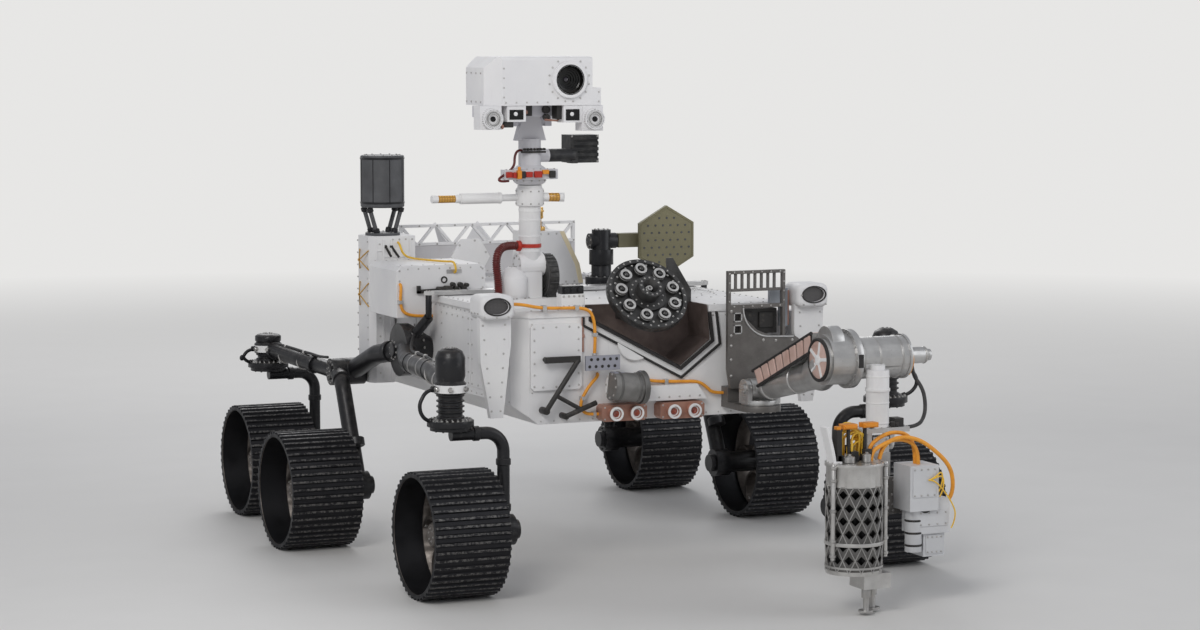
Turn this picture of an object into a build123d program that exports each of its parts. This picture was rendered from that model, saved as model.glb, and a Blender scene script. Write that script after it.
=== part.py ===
from build123d import *
import math
import os

os.makedirs("parts", exist_ok=True)

# A six-wheeled mars rover, full size, in millimetres.
# +X is its port side, -Y its front and +Z up. Z = 0 is the ground under the wheels.
# Sizes are laid out from a point near the middle wheels, and each sub-part is written
# ORIGIN_AHEAD further back. The origin is then under the middle of the overall length.
ORIGIN_AHEAD = 530.645

# Wheels: radius to the tips of the lugs, width, and where each one stands
WHEEL_R = 262.5
LUG_HIGH = 8.5
LUG_COUNT = 48
SKIN = 7
WHEEL_WIDE = 325
CORNER_X = 1010
MIDDLE_X = 1140
FRONT_Y = -1350
MIDDLE_Y = 60
REAR_Y = 1060
TURNTABLE_Z = 705
DRIVE_REACH = 232
LEG_R = 26

# Hull and deck
HULL_HALF = 620
HULL_FRONT = -1100
HULL_REAR = 660
BELLY = 655
DECK_TOP = 1135
DECK_UNDER = 1105

# Rocker and bogie pivots, on the sides of the hull
ROCKER_PIVOT = (700, -80, 885)
BOGIE_PIVOT = (850, 430, 740)
TUBE_R = 44

# Mast, high-gain antenna and arm axes
MAST_X = -450
MAST_Y = -850
PAN_Z = 1655
TILT_Z = 1925
DISH_X = 262
DISH_Y = 0
DISH_Z = 1340
SHOULDER = (430, -1290, 785)
ELBOW = (450, -1950, 975)
WRIST = (575, -2060, 640)
TURRET = (480, -2190, 430)
RUN = 0.05


def block(x0, x1, y0, y1, z0, z1):
    """A box between two corners."""
    place = Pos((x0 + x1) / 2, (y0 + y1) / 2, (z0 + z1) / 2)
    return place * Box(abs(x1 - x0), abs(y1 - y0), abs(z1 - z0))


def rod(start, end, radius):
    """A round bar between two points."""
    a, b = Vector(*start), Vector(*end)
    return extrude(Plane(origin=a, z_dir=b - a) * Circle(radius), amount=(b - a).length)


def tube(points, radius, bend):
    """A solid bent tube along straight runs joined by arcs."""
    path = FilletPolyline(*points, radius=bend)
    return sweep(Plane(origin=path @ 0, z_dir=path % 0) * Circle(radius), path=path)


def cable(points, radius):
    """A clipped cable: straight runs joined by arcs as large as the runs allow."""
    bends = []
    for before, corner, after in zip(points, points[1:], points[2:]):
        run_in, run_out = Vector(*corner) - Vector(*before), Vector(*after) - Vector(*corner)
        half_turn = math.radians(run_in.get_angle(run_out)) / 2
        bends.append(0.45 * min(run_in.length, run_out.length) / math.tan(half_turn))
    path = FilletPolyline(*points, radius=bends)
    return sweep(Plane(origin=path @ 0, z_dir=path % 0) * Circle(radius), path=path)


def plate(points, plane, thick):
    """A flat plate with the outline given by points on a plane."""
    return extrude(plane * make_face(Polyline(*points, close=True)), amount=thick)


def turned(points, plane):
    """A round body: radius and height pairs, turned about the plane's own Y direction."""
    outline = plane * make_face(Polyline(*points, close=True))
    return revolve(outline, axis=Axis(plane.origin, plane.y_dir))


def across(x, y, z):
    """A sketch plane square to X, with its own x along +Y and its own y along +Z."""
    return Plane(origin=(x, y, z), x_dir=(0, 1, 0), z_dir=(1, 0, 0))


def facing(x, y, z):
    """A sketch plane facing -Y, with its own x along +X and its own y along +Z."""
    return Plane(origin=(x, y, z), x_dir=(1, 0, 0), z_dir=(0, -1, 0))


def mirrored(solid):
    """The same piece on the starboard side."""
    return mirror(solid, about=Plane.YZ)


def save(name, *solids):
    """Write one sub-part."""
    together = solids[0]
    if len(solids) > 1:
        together = Compound(children=[s for item in solids for s in item.solids()])
    export_step(Pos(0, ORIGIN_AHEAD, 0) * together, f"parts/{name}.step")


# Wheels: a thin machined drum with 48 lugs, and flexible curved spokes on a hub
def wheel_drum(x, y):
    """The drum: a toothed outline as wide as the wheel, hollow inside."""
    base_r = WHEEL_R - LUG_HIGH
    pitch = 2 * math.pi / LUG_COUNT
    tip_r = WHEEL_R / math.cos(0.14 * pitch)
    # turn in pitches, radius
    tooth = [(-0.26, base_r), (-0.14, tip_r), (0.14, tip_r), (0.26, base_r)]
    outline = []
    for lug in range(LUG_COUNT):
        for turn, radius in tooth:
            angle = (lug + turn) * pitch
            outline.append((radius * math.cos(angle), radius * math.sin(angle)))
    end = across(x - WHEEL_WIDE / 2, y, WHEEL_R)
    drum = plate(outline, end, WHEEL_WIDE)
    return drum - extrude(end * RegularPolygon(base_r - SKIN, 24), amount=WHEEL_WIDE)


def wheel_hub(x, y, inner_side):
    """Hub with its curved flat spokes and the ring that they hold, bored for the drive."""
    ring_r = WHEEL_R - LUG_HIGH - SKIN
    web = RegularPolygon(ring_r - 0.3, 24) - Circle(ring_r - 15)
    web = web + Circle(70)
    for place in PolarLocations(0, 6):
        arc_out = ThreePointArc((58, -12), (150, 52), (ring_r - 10, -2))
        arc_back = ThreePointArc((ring_r - 10, -16), (150, 40), (58, -26))
        closing = [Line(arc_out @ 1, arc_back @ 0), Line(arc_back @ 1, arc_out @ 0)]
        web = web + place * make_face(Wire([arc_out, closing[0], arc_back, closing[1]]))
    hub = extrude(across(x - 35, y, WHEEL_R) * web, amount=70)
    cap_plane = Plane(origin=(x + 35 * -inner_side, y, WHEEL_R), x_dir=(0, 1, 0), z_dir=(0, 0, inner_side))
    hub = hub + turned([(0, 0), (64, 0), (64, 26), (44, 52), (0, 52)], cap_plane)
    drive = rod((x + 260 * inner_side, y, WHEEL_R), (x - 6 * inner_side, y, WHEEL_R), 50 + RUN)
    return hub - drive


def wheel_drive(x, y, inner_side):
    """Drive motor inside the hub, with its flange."""
    inboard = x + inner_side * DRIVE_REACH
    motor = rod((inboard, y, WHEEL_R), (x - 4 * inner_side, y, WHEEL_R), 50)
    start = (inboard + 40 * inner_side, y, WHEEL_R)
    collar = rod(start, (inboard - 34 * inner_side, y, WHEEL_R), 64)
    cap = rod((inboard + 62 * inner_side, y, WHEEL_R), start, 40)
    return motor + collar + cap


def knuckle(x, y, inner_side):
    """Steered leg: from under the turntable, round the wheel's inner side, to its drive."""
    inboard = x + inner_side * DRIVE_REACH
    arm_z = TURNTABLE_Z - 10 - LEG_R
    leg = tube([(x, y, arm_z), (inboard, y, arm_z), (inboard, y, WHEEL_R)], LEG_R, 80)
    disc = rod((x, y, TURNTABLE_Z - 16), (x, y, TURNTABLE_Z), 84)
    return leg + disc + wheel_drive(x, y, inner_side)


# column names: wheel, side of the rover, x, y, steered
WHEELS = [
    ("front_left", 1, CORNER_X, FRONT_Y, True),
    ("front_right", -1, -CORNER_X, FRONT_Y, True),
    ("middle_left", 1, MIDDLE_X, MIDDLE_Y, False),
    ("middle_right", -1, -MIDDLE_X, MIDDLE_Y, False),
    ("rear_left", 1, CORNER_X, REAR_Y, True),
    ("rear_right", -1, -CORNER_X, REAR_Y, True),
]
for name, side, x, y, steered in WHEELS:
    save(f"wheel_{name}", wheel_drum(x, y), wheel_hub(x, y, -side))
    if steered:
        save(f"knuckle_{name}", knuckle(x, y, -side))


# Hull: the warm box, with its lower edges cut back and a bay for the bit carousel in its nose
CAROUSEL_X = -12
BAY = [(-272, 1180), (-272, 1092), (143, 874), (287, 982), (272, 1180)]


def hull():
    """The closed box, its corners cut back, with the bay in its nose."""
    half = HULL_HALF
    section = [(-half, BELLY + 80), (-half + 100, BELLY), (half - 100, BELLY)]
    section = section + [(half, BELLY + 80), (half, DECK_UNDER), (-half, DECK_UNDER)]
    body = plate(section, facing(0, HULL_REAR, 0), HULL_REAR - HULL_FRONT)
    body = chamfer(body.edges().filter_by(Axis.Z).group_by(Axis.Y)[0], 60)
    return body - plate(BAY, facing(0, HULL_FRONT + 210, 0), 220)


HULL = hull()
belly = block(-430, 430, -860, 520, BELLY - 26, BELLY)
belly = chamfer(belly.faces().sort_by(Axis.Z)[0].edges(), 16)
save("hull", HULL, belly)

# Nose panels: the flat white cover to starboard of the bay, the ledge under the bay and a drum
panel = block(-556, -322, HULL_FRONT - 14, HULL_FRONT, 800, 1080)
panel = chamfer(panel.edges().filter_by(Axis.Y), 14)
ledge = plate([(-40, 735), (250, 735), (205, 800), (-40, 800)], facing(0, HULL_FRONT, 0), 46)
drum_y = HULL_FRONT - 92
drum = rod((-222, drum_y, 815), (-92, drum_y, 800), 62) + rod((-92, drum_y, 803), (-70, drum_y, 803), 70)
drum = drum + block(-190, -130, HULL_FRONT - 60, HULL_FRONT, 790, 835)
gauge_y = HULL_FRONT - 62
gauge = block(-330, -172, gauge_y - 10, gauge_y, 882, 944)
gauge = gauge + block(-300, -280, gauge_y, HULL_FRONT - 11, 890, 922)
gauge = gauge + block(-222, -202, gauge_y, HULL_FRONT, 890, 922)
save("nose_panels", panel, ledge, drum, gauge)

# Nose struts: two dark braces and a flat bar, standing off the panel on short posts
strut_y = HULL_FRONT - 46
struts = block(-506, -345, strut_y - 7, strut_y + 7, 918, 944)
# column names: start x, start z, end x, end z, radius
BRACES = [(-500, 716, -354, 925, 11), (-410, 690, -270, 742, 11), (-455, 780, -340, 716, 9)]
for x0, z0, x1, z1, radius in BRACES:
    struts = struts + rod((x0, strut_y, z0), (x1, strut_y, z1), radius)
# column names: x, z, where its foot stands, radius
POSTS = [(-500, 716, HULL_FRONT, 15), (-410, 690, HULL_FRONT, 13), (-492, 931, HULL_FRONT - 14, 11)]
for x, z, foot_y, radius in POSTS:
    struts = struts + rod((x, strut_y - 7, z), (x, foot_y, z), radius)
save("nose_struts", struts)

# Deck plate: overhangs the hull a little, cut away round the bay, with four lifting holes
deck_half = HULL_HALF + 12
deck_outline = [
    (-deck_half, HULL_FRONT + 64),
    (-deck_half + 70, HULL_FRONT - 6),
    (deck_half - 70, HULL_FRONT - 6),
    (deck_half, HULL_FRONT + 64),
    (deck_half, HULL_REAR + 10),
    (-deck_half, HULL_REAR + 10),
]
deck = plate(deck_outline, Plane.XY.offset(DECK_UNDER), DECK_TOP - DECK_UNDER)
deck = deck - plate(BAY, facing(0, HULL_FRONT + 210, 0), 260)
LIFT_X, LIFT_Y, LIFT_R = (300, 560), (-560, -380), 6.5
for x in LIFT_X:
    for y in LIFT_Y:
        deck = deck - rod((x, y, DECK_UNDER - 5), (x, y, DECK_TOP + 5), LIFT_R)
save("deck", deck)

# Bay frame: the rubber-edged double rim round the carousel's bay
bay_face = make_face(Polyline(*[(x, min(z, DECK_UNDER - 1)) for x, z in BAY], close=True))
rim = offset(bay_face, 46, kind=Kind.INTERSECTION) - offset(bay_face, 36, kind=Kind.INTERSECTION)
rim = extrude(facing(0, HULL_FRONT, 0) * rim, amount=10)
inner = offset(bay_face, 14, kind=Kind.INTERSECTION) - bay_face
inner = extrude(facing(0, HULL_FRONT, 0) * inner, amount=12)
above = block(-700, 700, HULL_FRONT - 60, HULL_FRONT + 60, DECK_UNDER - 2, DECK_TOP + 200)
save("bay_rim", rim - above, inner - above)

# Bit carousel: a tilted ring of bit pockets on a bracket in the bay
LEAN = math.radians(40)
axis = Vector(0, -math.cos(LEAN), math.sin(LEAN))
carousel = Plane(origin=(CAROUSEL_X, HULL_FRONT + 20, 1172), x_dir=(1, 0, 0), z_dir=axis)
ring = extrude(carousel * Circle(178), amount=34)
ring = ring - extrude(carousel.offset(16) * Circle(160), amount=30)
ring = ring + extrude(carousel * Circle(84), amount=30)
hub = carousel * Pos(0, 6) * Circle(54)
ring = ring + extrude(hub, amount=78)
ring = ring - extrude(carousel.offset(46) * Pos(0, 6) * Circle(34), amount=60)
for place in PolarLocations(122, 9, start_angle=10):
    ring = ring + extrude(carousel * place * Circle(27), amount=44)
    ring = ring - extrude(carousel.offset(26) * place * Circle(15), amount=30)
seat = rod((CAROUSEL_X, HULL_FRONT + 20, 1172), (CAROUSEL_X, HULL_FRONT + 90, 1125), 60)
seat = seat + block(CAROUSEL_X - 60, CAROUSEL_X + 60, HULL_FRONT + 70, HULL_FRONT + 209, 1070, 1135)
guard = [(150, 1135.5), (258, 1135.5), (258, 1190), (170, 1330), (140, 1330)]
guard = plate(guard, facing(0, HULL_FRONT + 140, 0), 8)
save("bit_carousel", ring + seat, guard)

# Front fairings: a white hood at each front corner with a dark oval window and a tapering leg
x0, x1, y0 = 660, 812, HULL_FRONT - 96
hood = block(x0, x1, y0, HULL_FRONT + 30, 1112, 1216)
hood = fillet(hood.edges().filter_by(Axis.Y), 30)
hood = fillet(hood.faces().sort_by(Axis.Y)[0].edges(), 20)
eye_plane = facing(740, y0 + 24, 1168)
hood = hood - extrude(eye_plane * Ellipse(54, 32), amount=60)
leg = [(806, 1150), (664, 1150), (664, 1010), (700, 700), (756, 700), (800, 930)]
leg = plate(leg, facing(0, y0 + 68, 0), 30)
web = plate([(44, 1150), (126, 1150), (126, 900), (66, 720), (44, 720)], across(700, y0, 0), 26)
web = web + block(621, 702, HULL_FRONT + 66, HULL_FRONT + 90, 900, 1090)
web = web + block(690, 726, HULL_FRONT + 20, HULL_FRONT + 90, 900, 1090)
hood = hood + leg + web
window = extrude(eye_plane * Ellipse(53.8, 31.8), amount=9)
save("fairings", hood, mirrored(hood), window, mirrored(window))

# Hazard cameras: two pairs under the nose and one pair at each rear corner
# column names: x of the pair's middle, face it stands on, which way it looks, z
HAZARD = [
    (-147, HULL_FRONT, -1, 694),
    (124, HULL_FRONT, -1, 691),
    (-540, HULL_REAR, 1, 800),
    (540, HULL_REAR, 1, 800),
]
pairs = []
for x, y, way, z in HAZARD:
    wide = 104 if way < 0 else 70
    box = block(x - wide, x + wide, y, y + way * 66, z - 34, z + 36)
    box = chamfer(box.edges().filter_by(Axis.Y), 12)
    for dx in (-48, 48):
        barrel = rod((x + dx * wide / 104, y + way * 40, z), (x + dx * wide / 104, y + way * 92, z), 30)
        box = box + barrel
        box = box - rod((x + dx * wide / 104, y + way * 72, z), (x + dx * wide / 104, y + way * 100, z), 21)
    pairs.append(box)
save("hazard_cameras", *pairs)

# Starboard equipment: the tall white cover at the rear, and the wide box in front of it
tall = block(-750, -deck_half - 0.5, 330, 520, 690, 1136) + block(-750, -530, 330, 520, DECK_TOP, 1366)
tall = chamfer(tall.edges().filter_by(Axis.Z).group_by(Axis.X)[0], 26)
side_box = block(-785, -358, -110, 250, DECK_TOP, 1262)
side_box = side_box + block(-785, -deck_half - 0.5, -110, 250, 1030, 1136)
side_box = chamfer(side_box.edges().filter_by(Axis.Y).group_by(Axis.Z)[-1], 22)
hex_panel = extrude(facing(-272, 300, 1262) * RegularPolygon(96, 6), amount=12)
hex_panel = hex_panel + block(-292, -252, 300, 340, DECK_TOP, 1200)
save("starboard_boxes", tall, side_box - tall, hex_panel)

# Port equipment: the white tapered cover on the deck and a flat box behind it
outline = [(-70, DECK_TOP), (215, DECK_TOP), (190, 1230), (112, 1384), (-70, 1384)]
cover = plate(outline, facing(0, 270, 0), 170)
flat = block(330, 590, 110, 420, DECK_TOP, 1158)
flat = chamfer(flat.edges().filter_by(Axis.Z), 20)
save("port_covers", cover, flat)

# Differential: the beam across the deck that joins the two rockers
BEAM_Y = -230
BEAM_UNDER = DECK_TOP + 4
BEAM_TOP = DECK_TOP + 22
pivot = rod((0, BEAM_Y, DECK_TOP), (0, BEAM_Y, BEAM_TOP + 3), 60)
outline = [(-700, 0), (-660, 24), (-70, 50), (70, 50), (660, 24), (700, 0)]
outline = outline + [(660, -24), (70, -50), (-70, -50), (-660, -24)]
beam = plate(outline, Plane.XY.offset(BEAM_UNDER) * Pos(0, BEAM_Y), BEAM_TOP - BEAM_UNDER)
save("differential_beam", pivot + beam)


# Suspension: rocker and bogie tubes, their joints and the steering motors
def steering_motor(x, y, ribs, tall):
    """A bolted flange, a ribbed cylinder, the rounded motor over it and its looped cable."""
    low = TURNTABLE_Z + 0.5
    outline = [(0, low), (96, low), (96, low + 24), (58, low + 34)]
    for rib in range(ribs):
        z = low + 40 + rib * 22
        outline = outline + [(58, z), (50, z + 4), (50, z + 14), (58, z + 18)]
    top = low + 42 + ribs * 22
    outline = outline + [(58, top), (66, top + 6), (66, top + 46), (56, top + 56)]
    motor = top + 56
    outline = outline + [(62, motor + 0.15 * tall), (62, motor + 0.7 * tall), (50, motor + 0.9 * tall)]
    outline = outline + [(28, motor + tall), (0, motor + tall)]
    loop = [(x + 55, y, top + 26), (x + 112, y - 12, top + 18), (x + 142, y - 22, top - 30)]
    loop = loop + [(x + 140, y - 24, low + 66), (x + 118, y - 14, low + 36), (x + 70, y, low + 16)]
    return turned(outline, facing(x, y, 0)) + cable(loop, 8)


def rocker():
    """Pivot housing, forward tube, steering motor, rear tube and the link to the beam."""
    px, py, pz = ROCKER_PIVOT
    housing = [(0, -68), (118, -68), (118, -20), (96, 20), (62, 70), (50, 92), (0, 92)]
    out = turned(housing, Plane(origin=(px, py, pz), x_dir=(0, 1, 0), z_dir=(0, 0, 1)))
    arm_z = TURNTABLE_Z + 156
    points = [(px + 30, py, pz), (px + 130, py - 300, pz - 20), (CORNER_X - 60, FRONT_Y + 330, arm_z + 30)]
    points.append((CORNER_X, FRONT_Y, arm_z))
    front = tube(points, TUBE_R, 200)
    bx, by, bz = BOGIE_PIVOT
    rear = tube([(px + 30, py, pz), (px + 90, py + 220, pz - 40), (bx - 44, by, bz)], TUBE_R, 160)
    pin = rod((bx - 96, by, bz), (bx, by, bz), 62)
    link = rod((px + 20, py - 60, pz + 60), (678, BEAM_Y, 1040), 22)
    link = link + rod((678, BEAM_Y, 1040), (678, BEAM_Y, BEAM_UNDER), 14)
    steer = steering_motor(CORNER_X, FRONT_Y, 4, 134)
    return (out + front + rear + pin + link + steer) - HULL - deck


def bogie():
    """Boss, the tube down to the middle wheel's drive and the tube back to the rear motor."""
    bx, by, bz = BOGIE_PIVOT
    boss = rod((bx, by, bz), (bx + 64, by, bz), 62)
    hub_x = MIDDLE_X - DRIVE_REACH
    front = tube([(bx + 30, by, bz), (hub_x, by - 150, bz - 30), (hub_x, MIDDLE_Y, WHEEL_R)], 36, 110)
    arm_z = TURNTABLE_Z + 90
    bend = (CORNER_X - 50, REAR_Y - 330, bz + 30)
    back = tube([(bx + 30, by, bz), bend, (CORNER_X, REAR_Y, arm_z)], 36, 160)
    steer = steering_motor(CORNER_X, REAR_Y, 1, 40)
    return boss + front + back + steer + wheel_drive(MIDDLE_X, MIDDLE_Y, -1)


port_rocker = rocker()
port_bogie = bogie() - port_rocker
save("rocker_left", port_rocker)
save("rocker_right", mirrored(port_rocker))
save("bogie_left", port_bogie)
save("bogie_right", mirrored(port_bogie))

# Radioisotope generator: a finned drum, tilted up behind the hull
GEN_LONG = 560
GEN_TILT = math.radians(24)
gen_dir = Vector(0, math.cos(GEN_TILT), math.sin(GEN_TILT))
gen_start = Vector(0, HULL_REAR + 150, 900)
gen_plane = Plane(origin=gen_start, x_dir=(1, 0, 0), z_dir=gen_dir)
generator = extrude(gen_plane * Circle(135), amount=GEN_LONG)
for place in PolarLocations(0, 8, start_angle=22.5):
    fin = gen_plane * place * (Pos(205, 0) * Rectangle(190, 12))
    generator = generator + extrude(fin, amount=GEN_LONG - 40)
generator = generator + extrude(gen_plane.offset(GEN_LONG) * Circle(90), amount=30)
neck = rod((0, HULL_REAR, 820), gen_start + gen_dir * 10, 100)
neck = neck - HULL - extrude(gen_plane * Circle(400), amount=GEN_LONG)
save("generator", generator, neck.solids().sort_by(SortBy.VOLUME)[-1])

# Heat exchangers: two upright plates beside the generator, joined in front by a grey panel
outline = [(HULL_REAR + 12, 760), (HULL_REAR + 620, 880), (HULL_REAR + 660, 1290), (HULL_REAR + 12, 1290)]
wall = plate(outline, across(400, 0, 0), 22)
front_panel = block(-400, 400, HULL_REAR + 12, HULL_REAR + 34, 1150, 1290)
save("heat_exchangers", wall, mirrored(wall), front_panel - wall - mirrored(wall))

# Clipped cables: the orange runs over the nose and side box, and the gold one down the cover
CABLE_R = 7
THIN_CABLE_R = 5
front_run = [(-660, -1136, 1172), (-615, -1136, 1172), (-520, -1126, 1150), (-420, -1122, 1146)]
front_run = front_run + [(-310, -1122, 1144), (-274, -1122, 1112), (-263, -1122, 1030), (-268, -1122, 950)]
front_cable = cable(front_run, CABLE_R)
# column names: clip's x0, x1, front y, rear y, z0, z1
CLIPS = [
    (-509, -491, -1128, HULL_FRONT - 6, 1118, 1154),
    (-360, -342, -1126, HULL_FRONT - 6, 1118, 1150),
    (-278, -258, -1126, HULL_FRONT, 950, 972),
]
for clip in CLIPS:
    front_cable = front_cable + block(*clip)
nose_run = [(-50, HULL_FRONT, 832), (-50, -1116, 832), (10, -1117, 816), (140, -1118, 810)]
nose_run = nose_run + [(218, -1118, 808), (258, -1118, 784), (290, -1118, 752), (340, -1118, 752)]
loop_run = [(-246, HULL_FRONT, 858), (-246, -1122, 858), (-300, -1124, 806), (-337, -1124, 740)]
loop_run = loop_run + [(-322, -1124, 702), (-292, -1124, 690), (-251, -1124, 690)]
side_run = [(-768, -110, 1180), (-768, -126, 1180), (-774, -126, 1100), (-760, -125, 1054)]
side_run = side_run + [(-700, -124, 1036), (-620, -124, 1036)]
cover_run = [(-615, 330, 1336), (-615, 314, 1336), (-608, 288, 1286), (-598, 222, 1270), (-560, 60, 1271)]
cover_run = cover_run + [(-526, -60, 1272), (-516, -108, 1277), (-510, -127, 1262), (-507, -127, 1226)]
cover_run.append((-507, -110, 1226))
other_cables = [cable(run, CABLE_R) for run in (nose_run, loop_run, side_run)]
save("clipped_cables", front_cable, *other_cables, cable(cover_run, THIN_CABLE_R))

# Rear rail: the white lattice that crosses the deck's rear edge above the exchangers
rail_y = HULL_REAR + 12
low_z, high_z = 1291, 1392
RAIL = (-478, 422)
RAIL_BAYS = 10
chords = [block(*RAIL, rail_y, rail_y + 22, low_z, low_z + 14)]
chords.append(block(*RAIL, rail_y, rail_y + 22, high_z - 14, high_z))
pitch = (RAIL[1] - RAIL[0]) / RAIL_BAYS
for number in range(RAIL_BAYS):
    left = RAIL[0] + number * pitch
    up = (left + 7, low_z + 7) if number % 2 else (left + 7, high_z - 7)
    down = (left + pitch - 7, high_z - 7) if number % 2 else (left + pitch - 7, low_z + 7)
    run = Vector(down[0] - up[0], down[1] - up[1]).normalized() * 6
    side = [(up[0] - run.Y, up[1] + run.X), (down[0] - run.Y, down[1] + run.X)]
    side = side + [(down[0] + run.Y, down[1] - run.X), (up[0] + run.Y, up[1] - run.X)]
    chords.append(plate(side, facing(0, rail_y + 20, 0), 18))
chords.append(block(RAIL[0], RAIL[0] + 14, rail_y, rail_y + 22, low_z, high_z))
chords.append(block(RAIL[1] - 14, RAIL[1], rail_y, rail_y + 22, low_z, high_z))
rail = chords[0]
for chord in chords[1:]:
    rail = rail + chord
save("rear_rail", rail)

# UHF antenna on four black struts over the tall starboard cover
uhf_x, uhf_y, uhf_z = -655, 425, 1495
uhf = rod((uhf_x, uhf_y, uhf_z), (uhf_x, uhf_y, uhf_z + 240), 101)
uhf = fillet(uhf.edges().filter_by(GeomType.CIRCLE), 8)
struts = []
for dx, dy in [(-1, -1), (-1, 1), (1, -1), (1, 1)]:
    foot = (uhf_x + dx * 40, uhf_y + dy * 40, 1366)
    struts.append(rod(foot, (uhf_x + dx * 78, uhf_y + dy * 40, uhf_z), 10) - tall - uhf)
foot_plate = rod((uhf_x, uhf_y, 1366), (uhf_x, uhf_y, 1378), 80)
struts = [strut - foot_plate for strut in struts]
save("uhf_antenna", uhf, *struts, foot_plate)

# High-gain antenna: gimbal post, turning head with its elbow, and the six-sided dish plate
post = rod((DISH_X, DISH_Y, DECK_TOP), (DISH_X, DISH_Y, DISH_Z - 110), 46)
post = post + rod((DISH_X, DISH_Y, DECK_TOP), (DISH_X, DISH_Y, DECK_TOP + 40), 74)
save("dish_post", post)
head = rod((DISH_X, DISH_Y, DISH_Z - 109), (DISH_X, DISH_Y, DISH_Z - 40), 56)
head = head + rod((DISH_X, DISH_Y, DISH_Z - 60), (DISH_X, DISH_Y, DISH_Z + 52), 44)
head = head + rod((DISH_X - 62, DISH_Y, DISH_Z), (DISH_X + 70, DISH_Y, DISH_Z), 36)
head = head - rod((DISH_X - 10, DISH_Y, DISH_Z), (DISH_X + 90, DISH_Y, DISH_Z), 20 + RUN)
save("dish_gimbal", head)
dish_x = DISH_X + 300
dish = extrude(facing(dish_x, DISH_Y - 52, DISH_Z) * Rot(0, 0, 90) * RegularPolygon(160, 6), amount=20)
axle = rod((DISH_X + 10, DISH_Y, DISH_Z), (DISH_X + 100, DISH_Y, DISH_Z), 20)
arm = block(DISH_X + 75, dish_x + 40, DISH_Y - 30, DISH_Y + 30, DISH_Z - 32, DISH_Z + 32)
arm = arm + block(dish_x - 60, dish_x + 60, DISH_Y - 54, DISH_Y - 28, DISH_Z - 60, DISH_Z + 60)
save("dish", dish + axle + arm)

# Low-gain antenna: a gold stepped horn standing on the port cover
horn = rod((20, 170, 1384), (20, 170, 1400), 30) + rod((20, 170, 1400), (20, 170, 1440), 13)
horn = horn + rod((20, 170, 1440), (20, 170, 1492), 21) + rod((20, 170, 1470), (20, 170, 1478), 25)
save("low_gain_antenna", horn)

# Mast: foot, drive motor and cable wheel on the deck, the tube and the two wind booms
mx, my = MAST_X, MAST_Y
foot = block(mx - 120, mx + 120, my - 90, my + 110, DECK_TOP, 1172)
motor = [(0, 0), (52, 0), (64, 26), (64, 92), (44, 122), (24, 140), (0, 140)]
motor = turned(motor, facing(mx - 82, my - 10, 1165))
disc = rod((mx + 56, my, 1262), (mx + 98, my, 1262), 92)
disc = disc - rod((mx + 76, my, 1262), (mx + 110, my, 1262), 40)
disc = disc + block(mx + 56, mx + 98, my - 60, my + 60, 1165, 1230)
fork = rod((mx - 60, my, 1312), (mx + 60, my, 1312), 50)
fork = fork + block(mx - 40, mx + 40, my - 40, my + 40, 1165, 1312)
save("mast_foot", (foot + motor + disc + fork).solids().sort_by(SortBy.VOLUME)[-1])
mast = [(0, 1312), (46, 1312), (46, 1560), (60, 1566), (60, 1634), (52, 1644)]
mast = turned(mast + [(52, PAN_Z - 3), (0, PAN_Z - 3)], facing(mx, my, 0))
save("mast_tube", mast - rod((mx - 60, my, 1312), (mx + 60, my, 1312), 50))
BOOM_Z = 1600
left_boom = rod((mx - 46, my, BOOM_Z), (mx - 140, my, BOOM_Z), 15)
left_boom = left_boom + rod((mx - 137, my, BOOM_Z), (mx - 318, my, BOOM_Z), 23)
left_boom = left_boom + rod((mx - 318, my, BOOM_Z), (mx - 447, my, BOOM_Z), 16)
right_boom = rod((mx + 46, my - 10, BOOM_Z), (mx + 134, my - 60, BOOM_Z), 19)
save("wind_booms", left_boom - mast, right_boom - mast)

# Mast bellows: the dark red corrugated tube that carries the mast's cables down to the deck
bellows_run = [(mx - 46, my, 1393), (mx - 104, my - 10, 1399), (mx - 156, my - 34, 1384)]
bellows_run = bellows_run + [(mx - 178, my - 50, 1330), (mx - 166, my - 55, 1240)]
bellows_run.append((mx - 166, my - 55, DECK_TOP))
save("mast_bellows", cable(bellows_run, 17) - mast)

# Remote head carrier: pan housing, neck, tilt bracket and the finned motor box beside it
yoke = turned(
    [(0, PAN_Z), (54, PAN_Z), (68, PAN_Z + 10), (68, 1724), (48, 1738), (48, 1850), (0, 1850)],
    facing(mx, my, 0),
)
yoke = yoke + block(mx - 150, mx + 92, my - 92, my - 40, 1680, 1722)
trapezoid = [(mx - 68, 1842), (mx + 68, 1842), (mx + 34, TILT_Z + 35), (mx - 34, TILT_Z + 35)]
yoke = yoke + plate(trapezoid, facing(0, my + 20, 0), 40)
yoke = yoke - rod((mx - 100, my, TILT_Z), (mx + 100, my, TILT_Z), 18 + RUN)
yoke = yoke + rod((mx + 30, my + 22, 1776), (mx + 214, my + 22, 1776), 28)
fins = block(mx + 212, mx + 344, my + 50, my + 150, 1740, 1860)
for z in (1758, 1782, 1806, 1830):
    fins = fins - block(mx + 226, mx + 350, my + 40, my + 60, z, z + 10)
fins = fins + block(mx + 198, mx + 226, my + 4, my + 60, 1740, 1800)
save("mast_yoke", yoke + fins)

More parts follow.
